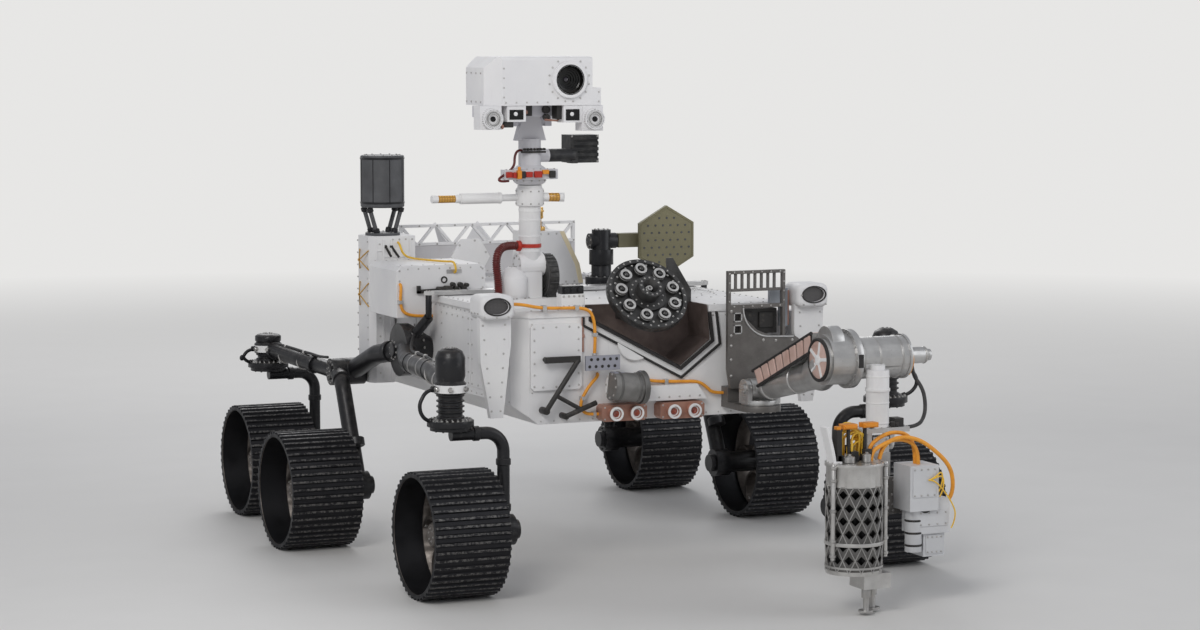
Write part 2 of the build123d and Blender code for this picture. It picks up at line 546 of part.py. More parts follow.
# Mast head: the tilting box with its big eye, and the cameras under it
HEAD_LOW, HEAD_HIGH = 1995, 2199
tilt_axle = rod((mx - 92, my, TILT_Z), (mx + 92, my, TILT_Z), 18)
saddle = tilt_axle
for dx in (-77, 77):
    saddle = saddle + block(mx + dx - 15, mx + dx + 15, my - 24, my + 24, TILT_Z - 22, HEAD_LOW)
saddle = saddle + block(mx - 300, mx + 250, my - 122, my - 96, TILT_Z + 22, HEAD_LOW)
save("mast_saddle", saddle)
head_box = block(-716, -245, my - 200, my + 60, HEAD_LOW, HEAD_HIGH)
head_box = chamfer(head_box.edges().filter_by(Axis.Z).group_by(Axis.X)[0].sort_by(Axis.Y)[0:1], 60)
top_left = head_box.edges().filter_by(Axis.Y).sort_by(lambda edge: edge.center().Z - edge.center().X)[-1]
head_box = chamfer(top_left, 46)
head_box = fillet(head_box.edges().filter_by(Axis.X).group_by(Axis.Z)[-1], 14)
LENS_X, LENS_Z = -352, 2102
collar = rod((LENS_X, my - 200, LENS_Z), (LENS_X, my - 214, LENS_Z), 76)
head_box = head_box + collar
head_box = head_box - rod((LENS_X, my - 120, LENS_Z), (LENS_X, my - 300, LENS_Z), 60)
head_box = head_box + block(-245.5, -206, my - 200, my - 90, HEAD_LOW, 2068)
save("mast_head", head_box)
lens = rod((LENS_X, my - 120, LENS_Z), (LENS_X, my - 160, LENS_Z), 59.8)
save("telescope_lens", lens)
cameras = []
# column names: x of the camera's middle, half width, low z, round
HEAD_CAMERAS = [
    (-590, 42, 1928, False),
    (-334, 42, 1922, False),
    (-706, 48, 1896, True),
    (-243, 48, 1886, True),
]
for x, half, low, is_round in HEAD_CAMERAS:
    body = block(x - half, x + half, my - 196, my - 123, low, HEAD_LOW - 0.3)
    if is_round:
        middle = (low + HEAD_LOW) / 2 - 4
        body = body + rod((x, my - 190, middle), (x, my - 226, middle), 44)
        body = body - rod((x, my - 214, middle), (x, my - 240, middle), 34)
    else:
        body = body - block(x - half + 14, x + half - 14, my - 200, my - 170, low + 14, HEAD_LOW - 22)
    cameras.append(body)
save("mast_cameras", *cameras)

# Arm bracket: the cut-away grey plate on the nose with two square holes and a ribbed frame
bracket_y = HULL_FRONT - 62
outline = [(330, 1122), (396, 1122), (422, 1070), (470, 1024), (530, 1000), (652, 994), (712, 954)]
outline = outline + [(662, 900), (590, 850), (550, 775), (345, 775), (330, 860)]
bracket = plate(outline, facing(0, bracket_y, 0), 22)
for z in (1030, 1082):
    bracket = bracket - block(362, 392, bracket_y - 60, bracket_y + 20, z - 15, z + 15)
for x, z0, z1 in [(362, 850, 1010), (530, 800, 990)]:
    bracket = bracket + block(x, x + 20, bracket_y, HULL_FRONT, z0, z1)
# column names: frame bar's x0, x1, thickness, z0, z1
FRAME_BARS = [
    (330, 606, 22, 1120, 1136),
    (330, 344, 22, 1120, 1282),
    (592, 606, 22, 990, 1282),
    (330, 606, 22, 1268, 1282),
    (330, 606, 16, 1192, 1204),
]
for x0, x1, thick, z0, z1 in FRAME_BARS:
    bracket = bracket + block(x0, x1, bracket_y - thick, bracket_y, z0, z1)
RIBS, RIB_PITCH = 7, 31
for rib in range(RIBS):
    x = 368 + rib * RIB_PITCH
    bracket = bracket + block(x, x + 9, bracket_y - 14, bracket_y, 1200, 1270)
sx, sy, sz = SHOULDER
SHELF_UNDER, SHELF_TOP, SHELF_R = 690, 716, 90
foot = block(sx - SHELF_R, sx + 70, bracket_y, HULL_FRONT, SHELF_TOP, 780)
save("arm_bracket", bracket + foot)

# Arm shelf: the plate under the bracket that the arm's seat turns on
shelf = block(sx - SHELF_R, sx + SHELF_R, sy, HULL_FRONT, SHELF_UNDER, SHELF_TOP)
shelf = shelf + rod((sx, sy, SHELF_UNDER), (sx, sy, SHELF_TOP), SHELF_R)
save("arm_shelf", shelf)

# Arm shoulder: the turning seat with its two cheeks
turn = rod((sx, sy, 716.5), (sx, sy, 738), 80)
for side in (-1, 1):
    turn = turn + block(sx + side * 56, sx + side * 78, sy - 42, sy + 42, 722, 785)
    turn = turn + rod((sx + side * 56, sy, sz), (sx + side * 78, sy, sz), 42)
turn = turn + block(sx - 78, sx + 78, sy - 42, sy + 42, 722, 738)
turn = turn - rod((sx - 120, sy, sz), (sx + 120, sy, sz), 22 + RUN)
save("arm_shoulder", turn)

# Upper arm: tube, elbow bell and flange, with the flat cable track along its top
ex, ey, ez = ELBOW
upper = rod((sx - 84, sy, sz), (sx + 84, sy, sz), 22) + rod((sx - 54, sy, sz), (sx + 54, sy, sz), 44)
upper = upper + rod((sx, sy - 20, sz + 4), (sx, sy - 110, sz + 24), 38)
upper = upper + rod((sx, sy - 98, sz + 21), (sx, sy - 560, sz + 120), 58)
upper = upper + rod((sx, sy - 530, sz + 113.6), (sx, ey + 30, ez - 16), 74)
upper = upper + rod((ex - 72, ey, ez), (ex + 30, ey, ez), 104)
upper = upper + rod((ex + 29, ey, ez), (ex + 58, ey, ez), 121)
upper = upper + rod((ex - 88, ey, ez), (ex - 71, ey, ez), 86)
upper = upper + rod((ex - 60, ey, ez + 66), (ex - 5, ey, ez + 66), 71)
track = [(sy - 74, 874), (ey + 70, 1078), (ey + 70, 1000), (sy - 120, 812)]
upper = upper + plate(track, across(sx - 62, 0, 0), 84)
save("upper_arm", upper - rod((ex - 20, ey, ez), (ex + 80, ey, ez), 40 + RUN))

# Forearm: elbow motor and nose, the short white tube, and the wrist fork under its plate
wx, wy, wz = WRIST
fore = rod((ex - 20, ey, ez), (ex + 59, ey, ez), 40) + rod((ex + 58.5, ey, ez), (742, ey, ez), 86)
fore = fore + rod((740, ey, ez), (752, ey, ez), 92) + rod((750, ey, ez), (856, ey, ez), 34)
fore = fore + rod((856, ey, ez), (878, ey, ez), 24)
fore = fore + rod((wx, wy, 936), (wx, wy, 700), 47) + rod((wx, wy, 850), (wx, wy, 862), 51)
fore = fore + rod((wx, wy, 934), (wx, wy, 956), 30)
fore = fore + block(wx - 100, wx + 122, wy - 52, wy + 52, 684, 704)
for side in (-1, 1):
    cheek = block(wx + side * 42, wx + side * 62, wy - 33, wy + 33, wz, 690)
    fore = fore + cheek + rod((wx + side * 42, wy, wz), (wx + side * 62, wy, wz), 33)
save("forearm", fore - rod((wx - 80, wy, wz), (wx + 80, wy, wz), 18 + RUN))

# Wrist: the tilting block, bent down to the turret's axis
tx, ty, tz = TURRET
wrist = rod((wx - 66, wy, wz), (wx + 66, wy, wz), 18)
wrist = wrist + block(wx - 37, wx + 37, wy - 34, wy + 30, wz - 60, wz + 26)
wrist = wrist + block(tx - 60, wx + 37, wy - 44, wy - 10, tz - 60, wz - 38)
wrist = wrist + rod((tx, wy - 30, tz), (tx, ty + 0.5, tz), 76)
save("wrist", wrist)

# Turret: hub plate, the drill in its lattice drum, and the instruments opposite
hub = rod((tx, ty, tz), (tx, ty - 34, tz), 88) + rod((tx, ty - 34, tz), (tx, ty - 60, tz), 60)
spine = block(310, 720, ty - 34, ty - 12, 372, 520)
save("turret_hub", hub + spine)
core_x, core_y, core_low, core_high = 316, ty - 152, 170, 612
plane = Plane.XY.offset(core_low) * Pos(core_x, core_y)
shell = extrude(plane * (Circle(112) - Circle(106)), amount=core_high - core_low)
LATTICE_ROWS, LATTICE_COLUMNS, LATTICE_PITCH = 6, 14, 52
for row in range(LATTICE_ROWS):
    z = core_low + 62 + row * LATTICE_PITCH
    shift = 0.5 * (row % 2)
    cutters = []
    for step in range(LATTICE_COLUMNS):
        outward = Vector(1, 0, 0).rotate(Axis.Z, (step + shift) * 360 / LATTICE_COLUMNS)
        side_plane = Plane(origin=(core_x, core_y, z), x_dir=(0, 0, 1), z_dir=outward)
        cutters.append(extrude(side_plane * (Rot(0, 0, 45) * Rectangle(26, 26)), amount=130))
    shell = shell - cutters
core = rod((core_x, core_y, core_low + 6), (core_x, core_y, core_high - 6), 72)
lid = rod((core_x, core_y, core_high - 14), (core_x, core_y, core_high), 118)
sole = rod((core_x, core_y, core_low), (core_x, core_y, core_low + 14), 112)
band = extrude(Plane.XY.offset(286) * Pos(core_x, core_y) * (Circle(118) - Circle(110)), amount=14)
corer = shell + lid + sole + core + band
for angle in (-160, -20, 90):
    rx = core_x + 124 * math.cos(math.radians(angle))
    ry = core_y + 124 * math.sin(math.radians(angle))
    corer = corer + rod((rx, ry, 232), (rx, ry, core_high), 10)
corer = corer + block(core_x + 10, core_x + 130, core_y - 70, core_y + 50, 108, core_low)
save("corer", corer - hub - spine)
instruments = block(560, 690, ty - 170, ty - 34.5, 396, 580)
instruments = instruments + block(600, 752, ty - 150, ty - 34.5, 300, 440)
instruments = instruments + block(640, 736, ty - 140, ty - 34.5, 206, 320)
instruments = instruments + rod((604, ty - 120, 396), (604, ty - 120, 228), 34)
save("instruments", instruments - hub - spine)
feet = []
for dx, dy, low in [(40, -30, 12), (96, 20, 12)]:
    leg = rod((core_x + dx, core_y + dy, 108), (core_x + dx, core_y + dy, low), 12)
    leg = leg + rod((core_x + dx, core_y + dy, low), (core_x + dx, core_y + dy, low + 8), 30)
    feet.append(leg + rod((core_x + dx, core_y + dy, 70), (core_x + dx, core_y + dy, 108), 18))
save("stabilisers", *feet)

# Arm hoses: the black hose from the elbow's nose to the wrist, and the turret's orange loops
hose_run = [(795, ey, ez - 30), (795, ey - 6, ez - 76), (822, ey - 46, ez - 132), (828, ey - 60, ez - 190)]
hose_run = hose_run + [(812, ey - 82, 732), (764, wy, 694), (wx + 122, wy, 694)]
save("arm_hose", cable(hose_run, 8) - fore)
loops = []
# column names: how far in front of the first loop, how much higher
for ahead, rise in [(0, 0), (26, -26)]:
    y = ty - 100 - ahead
    loop_run = [(620, y, 580), (620, y, 640 + rise / 2), (590, y, 700 + rise), (510, y - 8, 716 + rise)]
    loop_run = loop_run + [(440, y - 16, 694 + rise), (392, y - 26, 658 + rise / 2)]
    loop_run.append((392, y - 26, core_high))
    loops.append(cable(loop_run, 8))
save("turret_cables", *loops)
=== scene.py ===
import math

import bmesh
import bpy
from mathutils import Matrix, Vector


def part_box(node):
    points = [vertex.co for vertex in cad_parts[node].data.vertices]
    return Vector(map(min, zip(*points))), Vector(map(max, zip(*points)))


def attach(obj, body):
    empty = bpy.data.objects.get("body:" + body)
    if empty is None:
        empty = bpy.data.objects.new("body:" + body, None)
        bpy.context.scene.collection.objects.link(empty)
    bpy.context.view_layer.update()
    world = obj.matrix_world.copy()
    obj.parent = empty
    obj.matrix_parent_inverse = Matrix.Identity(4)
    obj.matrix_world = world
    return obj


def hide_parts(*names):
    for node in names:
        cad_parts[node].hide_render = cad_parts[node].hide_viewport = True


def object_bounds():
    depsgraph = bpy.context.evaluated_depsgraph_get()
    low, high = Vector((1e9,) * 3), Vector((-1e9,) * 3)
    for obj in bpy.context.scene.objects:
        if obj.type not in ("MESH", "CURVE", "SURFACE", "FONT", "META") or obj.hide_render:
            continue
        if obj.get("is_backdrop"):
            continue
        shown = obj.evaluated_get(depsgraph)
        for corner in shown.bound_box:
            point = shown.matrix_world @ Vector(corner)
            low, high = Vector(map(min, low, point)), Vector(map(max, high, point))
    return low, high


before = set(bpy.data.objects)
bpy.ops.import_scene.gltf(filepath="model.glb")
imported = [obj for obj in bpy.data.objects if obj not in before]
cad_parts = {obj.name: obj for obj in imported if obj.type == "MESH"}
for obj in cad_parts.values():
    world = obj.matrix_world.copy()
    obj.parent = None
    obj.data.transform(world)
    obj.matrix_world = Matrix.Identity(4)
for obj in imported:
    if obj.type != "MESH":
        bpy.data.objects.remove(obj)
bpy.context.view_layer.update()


# Wheels
# Six thin machined aluminium drums, each turned from one block with 48 lugs, black anodised.
# Curved titanium spokes join the drum to a hub, which is bolted over the drive motor.
class Shade:
    """One socket of a finish. Arithmetic on it adds the matching Math nodes."""

    def __init__(self, finish, socket):
        self.finish = finish
        self.socket = socket

    def math(self, operation, *values, clamp=False):
        settings = {"operation": operation, "use_clamp": clamp}
        return self.finish.node("ShaderNodeMath", settings, dict(enumerate(values)))

    def __add__(self, other):
        return self.math("ADD", self, other)

    def __sub__(self, other):
        return self.math("SUBTRACT", self, other)

    def __rsub__(self, other):
        return self.math("SUBTRACT", other, self)

    def __mul__(self, other):
        return self.math("MULTIPLY", self, other)

    def __gt__(self, other):
        return self.math("GREATER_THAN", self, other)

    def __lt__(self, other):
        return self.math("LESS_THAN", self, other)

    __radd__ = __add__
    __rmul__ = __mul__

    def wave(self, period):
        """A sine from 0 to 1 that repeats each period."""
        return self.math("SINE", self * (2 * math.pi / period)) * 0.5 + 0.5

    def between(self, low, high):
        """0 under low, 1 over high and straight between them."""
        return self.math("MULTIPLY", self - low, 1 / (high - low), clamp=True)


class Finish:
    """A material and its shader. Lengths in it are metres, as in the frame."""

    def __init__(self, name, slot=None, rough=0.5, metal=0.0, **sockets):
        self.slot = slot
        self.material = bpy.data.materials.new(name)
        self.material.use_nodes = True
        self.tree = self.material.node_tree
        self.shader = self.tree.nodes["Principled BSDF"]
        self.shader.inputs["Roughness"].default_value = rough
        self.shader.inputs["Metallic"].default_value = metal
        for socket, value in sockets.items():
            self.shader.inputs[socket.replace("_", " ")].default_value = value
        self.place = self.node("ShaderNodeTexCoord", {}, {}, "Object")

    def node(self, kind, settings, inputs, output=0):
        made = self.tree.nodes.new(kind)
        for key, value in settings.items():
            setattr(made, key, value)
        for socket, value in inputs.items():
            if isinstance(value, Shade):
                self.tree.links.new(value.socket, made.inputs[socket])
            else:
                made.inputs[socket].default_value = value
        return Shade(self, made.outputs[output])

    def vector(self, operation, first, second, output=0):
        return self.node("ShaderNodeVectorMath", {"operation": operation}, {0: first, 1: second}, output)

    def noise(self, size, detail=3.0, stretch=(1, 1, 1)):
        """Soft random patches about as large as size."""
        scale = self.vector("MULTIPLY", self.place, stretch)
        inputs = {"Vector": scale, "Scale": 1 / size, "Detail": detail, "Roughness": 0.55}
        return self.node("ShaderNodeTexNoise", {}, inputs, "Fac")

    def along(self, axis):
        return self.node("ShaderNodeSeparateXYZ", {}, {0: self.place}, axis)

    def inside(self, axis, low, high):
        """1 between two places along an axis of the frame."""
        return (self.along(axis) > low) * (self.along(axis) < high)

    def reach(self, centre, across):
        """The distance from centre, with each axis counted as much as across says."""
        flat = self.vector("MULTIPLY", self.vector("SUBTRACT", self.place, centre), across)
        return self.node("ShaderNodeVectorMath", {"operation": "LENGTH"}, {0: flat}, "Value")

    def dust(self, size, detail, low, high, amount):
        """Patches that lie only on what faces up."""
        normal = self.node("ShaderNodeNewGeometry", {}, {}, "Normal")
        level = self.node("ShaderNodeSeparateXYZ", {}, {0: normal}, "Z").between(0.2, 1.0)
        return level * self.noise(size, detail).between(low, high) * amount

    def blend(self, amount, first, second):
        """A colour that goes from first to second as amount goes from 0 to 1."""
        first = first if isinstance(first, Shade) else (*first, 1)
        second = second if isinstance(second, Shade) else (*second, 1)
        inputs = {"Factor": amount, 6: first, 7: second}
        return self.node("ShaderNodeMix", {"data_type": "RGBA"}, inputs, 2)

    def mottle(self, size, low, high, first, second, detail=4):
        """Patches of a second colour on a first."""
        return self.blend(self.noise(size, detail).between(low, high), first, second)

    def put(self, socket, value):
        self.tree.links.new(value.socket, self.shader.inputs[socket])

    def over(self, mask, colour):
        """Lay another colour over the base colour where mask is 1."""
        under = self.shader.inputs["Base Color"].links[0].from_socket
        self.put("Base Color", self.blend(mask, Shade(self, under), colour))

    def relief(self, height, depth):
        """Bumps of the given depth where height goes from 0 to 1."""
        inputs = {"Height": height, "Strength": 1.0, "Distance": depth}
        self.put("Normal", self.node("ShaderNodeBump", {}, inputs, "Normal"))


def break_edges(piece, edge, segments, angle):
    bevel = piece.modifiers.new("edges", "BEVEL")
    bevel.width = edge / 1000
    bevel.segments = segments
    bevel.limit_method = "ANGLE"
    bevel.angle_limit = math.radians(angle)
    return bevel


def dress(node, finish, edge=2.0, segments=2):
    """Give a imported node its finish, and break its sharp edges by a small radius in mm."""
    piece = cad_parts[node]
    piece.data.materials.clear()
    piece.data.materials.append(finish.material)
    weld = piece.modifiers.new("weld", "WELD")
    weld.merge_threshold = 0.00002
    break_edges(piece, edge, segments, 35).harden_normals = True


PORT = Vector((1, 0, 0))
STARBOARD = -PORT


def wheel_centre(name):
    low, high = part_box(f"wheel_{name}")
    return (low + high) / 2


DRAWING_Y = wheel_centre("middle_left").y - 0.060


def spot(x, y, z):
    """A place on the drawings, in mm from between the middle wheels, in the frame."""
    return Vector((x / 1000, y / 1000 + DRAWING_Y, z / 1000))


def placed(where):
    """A frame vector as it is, and a place on the drawings in the frame."""
    return where if isinstance(where, Vector) else spot(*where)


def around(count, first=0.0):
    """The cosine and sine of evenly spaced turns, from first in degrees."""
    for number in range(count):
        turn = math.radians(first + 360 * number / count)
        yield math.cos(turn), math.sin(turn)


def skin(mesh, rings, closed):
    """Faces between rings of corners, which meet again or get flat ends."""
    for low, high in zip(rings, rings[1:] + (rings[:1] if closed else [])):
        for step in range(len(low)):
            after = (step + 1) % len(low)
            mesh.faces.new((low[step], low[after], high[after], high[step]))
    if not closed:
        mesh.faces.new(list(reversed(rings[0])))
        mesh.faces.new(rings[-1])


def turned(mesh, start, direction, profile, steps=24, closed=False):
    """A turned form from a list of (distance along, radius) in mm. A closed one is a ring."""
    toward = Vector(direction).normalized()
    across = toward.orthogonal().normalized()
    third = toward.cross(across)
    rings = []
    for distance, radius in profile:
        middle = placed(start) + toward * distance / 1000
        turns = [(across * cos + third * sin) * radius / 1000 for cos, sin in around(steps)]
        rings.append([mesh.verts.new(middle + turn) for turn in turns])
    skin(mesh, rings, closed)


def bolt(mesh, place, direction, radius=3.5):
    """A washer and a six-sided head."""
    washer = [(-0.5, radius * 1.35), (radius * 0.2, radius * 1.35), (radius * 0.25, radius * 1.25)]
    turned(mesh, place, direction, washer, 12)
    head = [(0, radius), (radius * 0.9, radius), (radius * 1.035, radius * 0.8)]
    turned(mesh, place, direction, head, 6)


def bolt_circle(mesh, centre, direction, circle, count, radius=3.5, first=0.0):
    """Bolts on a circle of the radius that circle gives. The first is turned by a share of a step."""
    toward = Vector(direction).normalized()
    across = toward.orthogonal().normalized() * circle / 1000
    for number in range(count):
        turn = Matrix.Rotation(2 * math.pi * (number + first) / count, 3, toward)
        bolt(mesh, placed(centre) + turn @ across, toward, radius)


def make(name, mesh, finish, body="chassis", edge=0.0):
    """Turn a finished mesh into a piece that rides on a body."""
    bmesh.ops.recalc_face_normals(mesh, faces=mesh.faces)
    for line in mesh.edges:
        line.smooth = len(line.link_faces) == 2 and line.calc_face_angle(0) < math.radians(32)
    for face in mesh.faces:
        face.smooth = True
    data = bpy.data.meshes.new(name)
    mesh.to_mesh(data)
    mesh.free()
    piece = bpy.data.objects.new(name, data)
    bpy.context.scene.collection.objects.link(piece)
    data.materials.append(finish.material)
    if edge:
        break_edges(piece, edge, 2, 40)
    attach(piece, body)
    return piece


def metal_finish(name, colour, dark, rough=0.42, metal=0.9, axis="Z", slot="bare_metal"):
    """Machined metal with fine tool marks and patchy oxide."""
    finish = Finish(name, slot, rough, metal)
    finish.put("Base Color", finish.mottle(0.07, 0.3, 0.72, dark, colour))
    finish.put("Roughness", finish.noise(0.02) * 0.22 + (rough - 0.1))
    finish.relief(finish.along(axis).wave(0.0016) * 0.5 + finish.noise(0.006), 0.00012)
    return finish


steel = metal_finish("steel_fasteners", (0.55, 0.54, 0.52), (0.38, 0.37, 0.36), 0.32)
LUG_TIP, DRUM_INSIDE, DRUM_RELIEF, RIM_LIP = 262.5, 244.9, 242.8, 239.5
WHEEL_HALF, SPOKE_HALF = 162.5, 35


def tread_finish(name, centre):
    """Black anodising with turning marks, worn at the lug tips. The spokes stay bare titanium."""
    finish = Finish(name, "black_anodised", 0.45, 0.85)
    radius = finish.reach(centre, (0, 1, 1))
    tips = radius.between((LUG_TIP - 2) / 1000, LUG_TIP / 1000)
    worn = tips * finish.noise(0.012, 4).between(0.42, 0.62)
    drum = finish.blend(worn, (0.030, 0.030, 0.033), (0.16, 0.155, 0.15))
    spokes = radius < (RIM_LIP - 1) / 1000
    patches = finish.noise(0.05).between(0.3, 0.7)
    bare = finish.blend(patches, (0.20, 0.18, 0.165), (0.12, 0.105, 0.095))
    finish.put("Base Color", finish.blend(spokes, drum, bare))
    finish.put("Roughness", 0.38 + 0.22 * patches)
    marks = finish.along("X").wave(0.0022) * (1 - spokes)
    finish.relief(marks * 0.6 + finish.noise(0.004) * 0.8, 0.00025)
    return finish


for row in ("front", "middle", "rear"):
    for name in (f"{row}_left", f"{row}_right"):
        centre = wheel_centre(name)
        out = PORT * math.copysign(1, centre.x)
        finish = tread_finish(f"wheel_finish_{name}", centre)
        dress(f"wheel_{name}", finish, edge=1.2, segments=1)
        liner = bmesh.new()
        depth = WHEEL_HALF - SPOKE_HALF
        for side in (STARBOARD, PORT):
            lip = [(0, DRUM_INSIDE), (0, RIM_LIP), (4, RIM_LIP - 1.5), (6, RIM_LIP), (4, DRUM_RELIEF)]
            lip = lip + [(depth, DRUM_RELIEF), (depth, DRUM_INSIDE)]
            turned(liner, centre + side * WHEEL_HALF / 1000, -side, lip, 72, closed=True)
        make(f"wheel_liner_{name}", liner, finish, f"wheel_{name}")
        bolts = bmesh.new()
        bolt_circle(bolts, centre + out * 0.061, out, 52, 8, 4.5)
        bolt_circle(bolts, centre + out * 0.087, out, 26, 6, 3.5, 0.5)
        for cos, sin in around(6):
            inward = Vector((0, -cos, -sin))
            for side in (STARBOARD, PORT):
                bolt(bolts, centre + side * 0.022 - inward * 0.230, inward, 5)
        make(f"wheel_bolts_{name}", bolts, steel, f"wheel_{name}")


# Steering
# Each corner wheel hangs from a bent tube, black anodised, under a bolted turntable. The ribbed
# steering motor stands over the turntable, with a pale collar, a plug and a ring of bright bolts.
def black_finish(name, colour=(0.016, 0.016, 0.018), rubbed=(0.085, 0.083, 0.08), rough=0.34,
                 slot="black_anodised"):
    """Satin black anodising: a little dust lies on what faces up, and handling has rubbed it."""
    finish = Finish(name, slot, rough, 0.35, Coat_Roughness=0.3)
    rub = finish.noise(0.03, 5).between(0.58, 0.8) * 0.5
    dust = finish.dust(0.02, 4, 0.35, 0.75, 0.35)
    finish.put("Base Color", finish.blend(rub, colour, rubbed))
    finish.over(dust, (0.20, 0.175, 0.155))
    finish.put("Roughness", finish.noise(0.05) * 0.25 + dust * 0.3 + (rough - 0.12))
    finish.relief(finish.noise(0.003) * 0.6 + finish.noise(0.04), 0.0003)
    return finish


def white_finish(name, colour=(0.80, 0.795, 0.79), shade=(0.69, 0.685, 0.70), rough=0.55,
                 slot="white_paint"):
    """Matt white thermal paint: faint roller texture, grime in broad patches, dust on top."""
    finish = Finish(name, slot, rough)
    finish.put("Base Color", finish.mottle(0.35, 0.35, 0.75, colour, shade, detail=5))
    runs = finish.noise(0.05, 4, stretch=(3, 3, 0.4)).between(0.62, 0.85) * 0.3
    finish.over(runs, tuple(0.8 * part for part in shade))
    finish.over(finish.noise(0.006, 2).between(0.70, 0.78) * 0.35, (0.45, 0.42, 0.40))
    finish.over(finish.dust(0.06, 5, 0.4, 0.8, 0.18), (0.62, 0.52, 0.44))
    finish.put("Roughness", finish.noise(0.03) * 0.2 + (rough - 0.1))
    finish.relief(finish.noise(0.0025, 2) * 0.6 + finish.noise(0.12) * 0.8, 0.0002)
    return finish


def sleeve(mesh, first, last, radius, steps=32):
    """A short collar with chamfered ends, from one place to another."""
    line = placed(last) - placed(first)
    length = line.length * 1000
    lip = min(3, length / 4)
    profile = [(0, radius - lip), (lip, radius), (length - lip, radius), (length, radius - lip)]
    turned(mesh, first, line, profile, steps)


def band(mesh, start, direction, inner, outer, high, steps, lip=0.0):
    """A ring that stands on start, with a small chamfer."""
    ring = [(0, inner), (lip, outer), (high - lip, outer), (high, inner)]
    turned(mesh, start, direction, ring, steps, closed=True)


black = black_finish("black_anodising")
white = white_finish("white_paint")
UP = Vector((0, 0, 1))
DOWN = -UP
CORNER_X, LEG_Z, TURNTABLE_Z = 1010, 669, 705
# column names: end, y, top of the ribs, top of the motor
STEERED = [("front", -1350, 835.5, 1025.5), ("rear", 1060, 769.5, 865.5)]
collars = bmesh.new()
bright = bmesh.new()
plugs = bmesh.new()
for end, y, ribs_top, motor_top in STEERED:
    for hand, side in (("left", 1), ("right", -1)):
        dress(f"knuckle_{end}_{hand}", black)
        x = side * CORNER_X
        leg = side * (CORNER_X - 232)
        fittings = bmesh.new()
        sleeve(fittings, (x - side * 96, y, LEG_Z), (x - side * 124, y, LEG_Z), 31)
        sleeve(fittings, (leg, y, 560), (leg, y, 532), 31)
        sleeve(fittings, (leg, y, 372), (leg, y, 340), 31)
        bolt_circle(fittings, (leg - side * 40, y, 262.5), (-side, 0, 0), 52, 8, 4.5)
        bolt_circle(fittings, (x, y, TURNTABLE_Z - 16), DOWN, 72, 12, 4)
        make(f"knuckle_fittings_{end}_{hand}", fittings, black, f"steer_{end}_{hand}")
        bolt_circle(bright, (x, y, TURNTABLE_Z + 27), UP, 84, 24, 4.8)
        bolt_circle(bright, (x, y, TURNTABLE_Z + 31), UP, 67, 18, 3.2, 0.5)
        bolt_circle(bright, (x, y, motor_top), UP, 19, 6)
        band(collars, (x, y, ribs_top + 9), UP, 65.5, 67.2, 32.5, 48, lip=0.5)
        sleeve(plugs, (x + side * 56, y, ribs_top + 26), (x + side * 84, y - 3, ribs_top + 25), 13, 20)
        low = TURNTABLE_Z + 16
        sleeve(plugs, (x + side * 64, y, low), (x + side * 97, y - 6, low + 13), 12, 20)
        for angle in (200, 250, 310):
            turn = math.radians(angle)
            reach = Vector((math.cos(turn), math.sin(turn), 0))
            foot = spot(x, y, ribs_top + 25) + reach * 0.066
            sleeve(bright, foot, foot + reach * 0.016, 11, 16)
make("motor_collars", collars, white)
make("motor_bolts", bright, steel)
make("motor_plugs", plugs, black)


# Suspension
# Rockers and bogies are bent and welded tubes, black anodised, with machined collars where they
# are joined. Each turns on a large pivot with a bolted cover, which a beam on the deck links.
def bolt_row(mesh, first, last, count, direction, radius=3.5):
    """Bolts on a straight line from the first place to the last."""
    for number in range(count):
        share = number / max(count - 1, 1)
        bolt(mesh, placed(first).lerp(placed(last), share), direction, radius)


# column names: first place, last place, radius of the collar
TUBE_COLLARS = [
    ((842, -446, 867), (850, -490, 869), 48),
    ((925, -892, 885), (932, -930, 887), 48),
    ((996, -1262, 868), (1001, -1292, 866), 48),
    ((764, 24, 868), (771, 50, 864), 48),
    ((900, 322, 720), (903, 300, 716), 41),
    ((908, 110, 470), (908, 95, 436), 41),
    ((930, 590, 757), (936, 622, 759), 41),
    ((997, 980, 781), (1001, 1006, 785), 41),
    ((718, -150, 958), (714, -163, 971), 27),
    ((788, -80, 885), (800, -80, 885), 30),
    ((910, 430, 740), (922, 430, 740), 36),
]
# column names: centre, radius of the circle, how many, radius of a bolt
PIVOT_BOLTS = [
    ((791, -80, 885), 41, 10, 4),
    ((681, -80, 885), 109, 20, 4.8),
    ((914, 430, 740), 50, 12, 4.2),
    ((922, 430, 740), 20, 6, 3.5),
]
# column names: place on the tube's middle line, radius of the band
LEAD_BANDS = [
    ((868, -590, 873), 47.2), ((906, -790, 881), 47.2), ((948, -1010, 882), 47.2),
    ((980, -1180, 873), 47.2), ((950, 700, 764), 39.5), ((980, 880, 775), 39.5),
]


def on_side(side, place):
    """A place on the port side, or its mirror image to starboard."""
    return (side * place[0], place[1], place[2])


joints = bmesh.new()
bolts = bmesh.new()
bands = bmesh.new()
for side, name in ((1, "left"), (-1, "right")):
    dress(f"rocker_{name}", black, edge=2.5)
    dress(f"bogie_{name}", black, edge=2.5)
    for first, last, radius in TUBE_COLLARS:
        sleeve(joints, on_side(side, first), on_side(side, last), radius)
    for centre, circle, count, radius in PIVOT_BOLTS:
        bolt_circle(bolts, on_side(side, centre), PORT * side, circle, count, radius)
    for (x, y, z), radius in LEAD_BANDS:
        sleeve(bands, (side * x, y - 6, z), (side * x, y + 6, z), radius)
        sleeve(bands, (side * x, y, z + radius - 6), (side * x, y, z + radius + 12), 10)
make("tube_collars", joints, black)
make("pivot_bolts", bolts, steel)
make("lead_bands", bands, steel, edge=0.8)

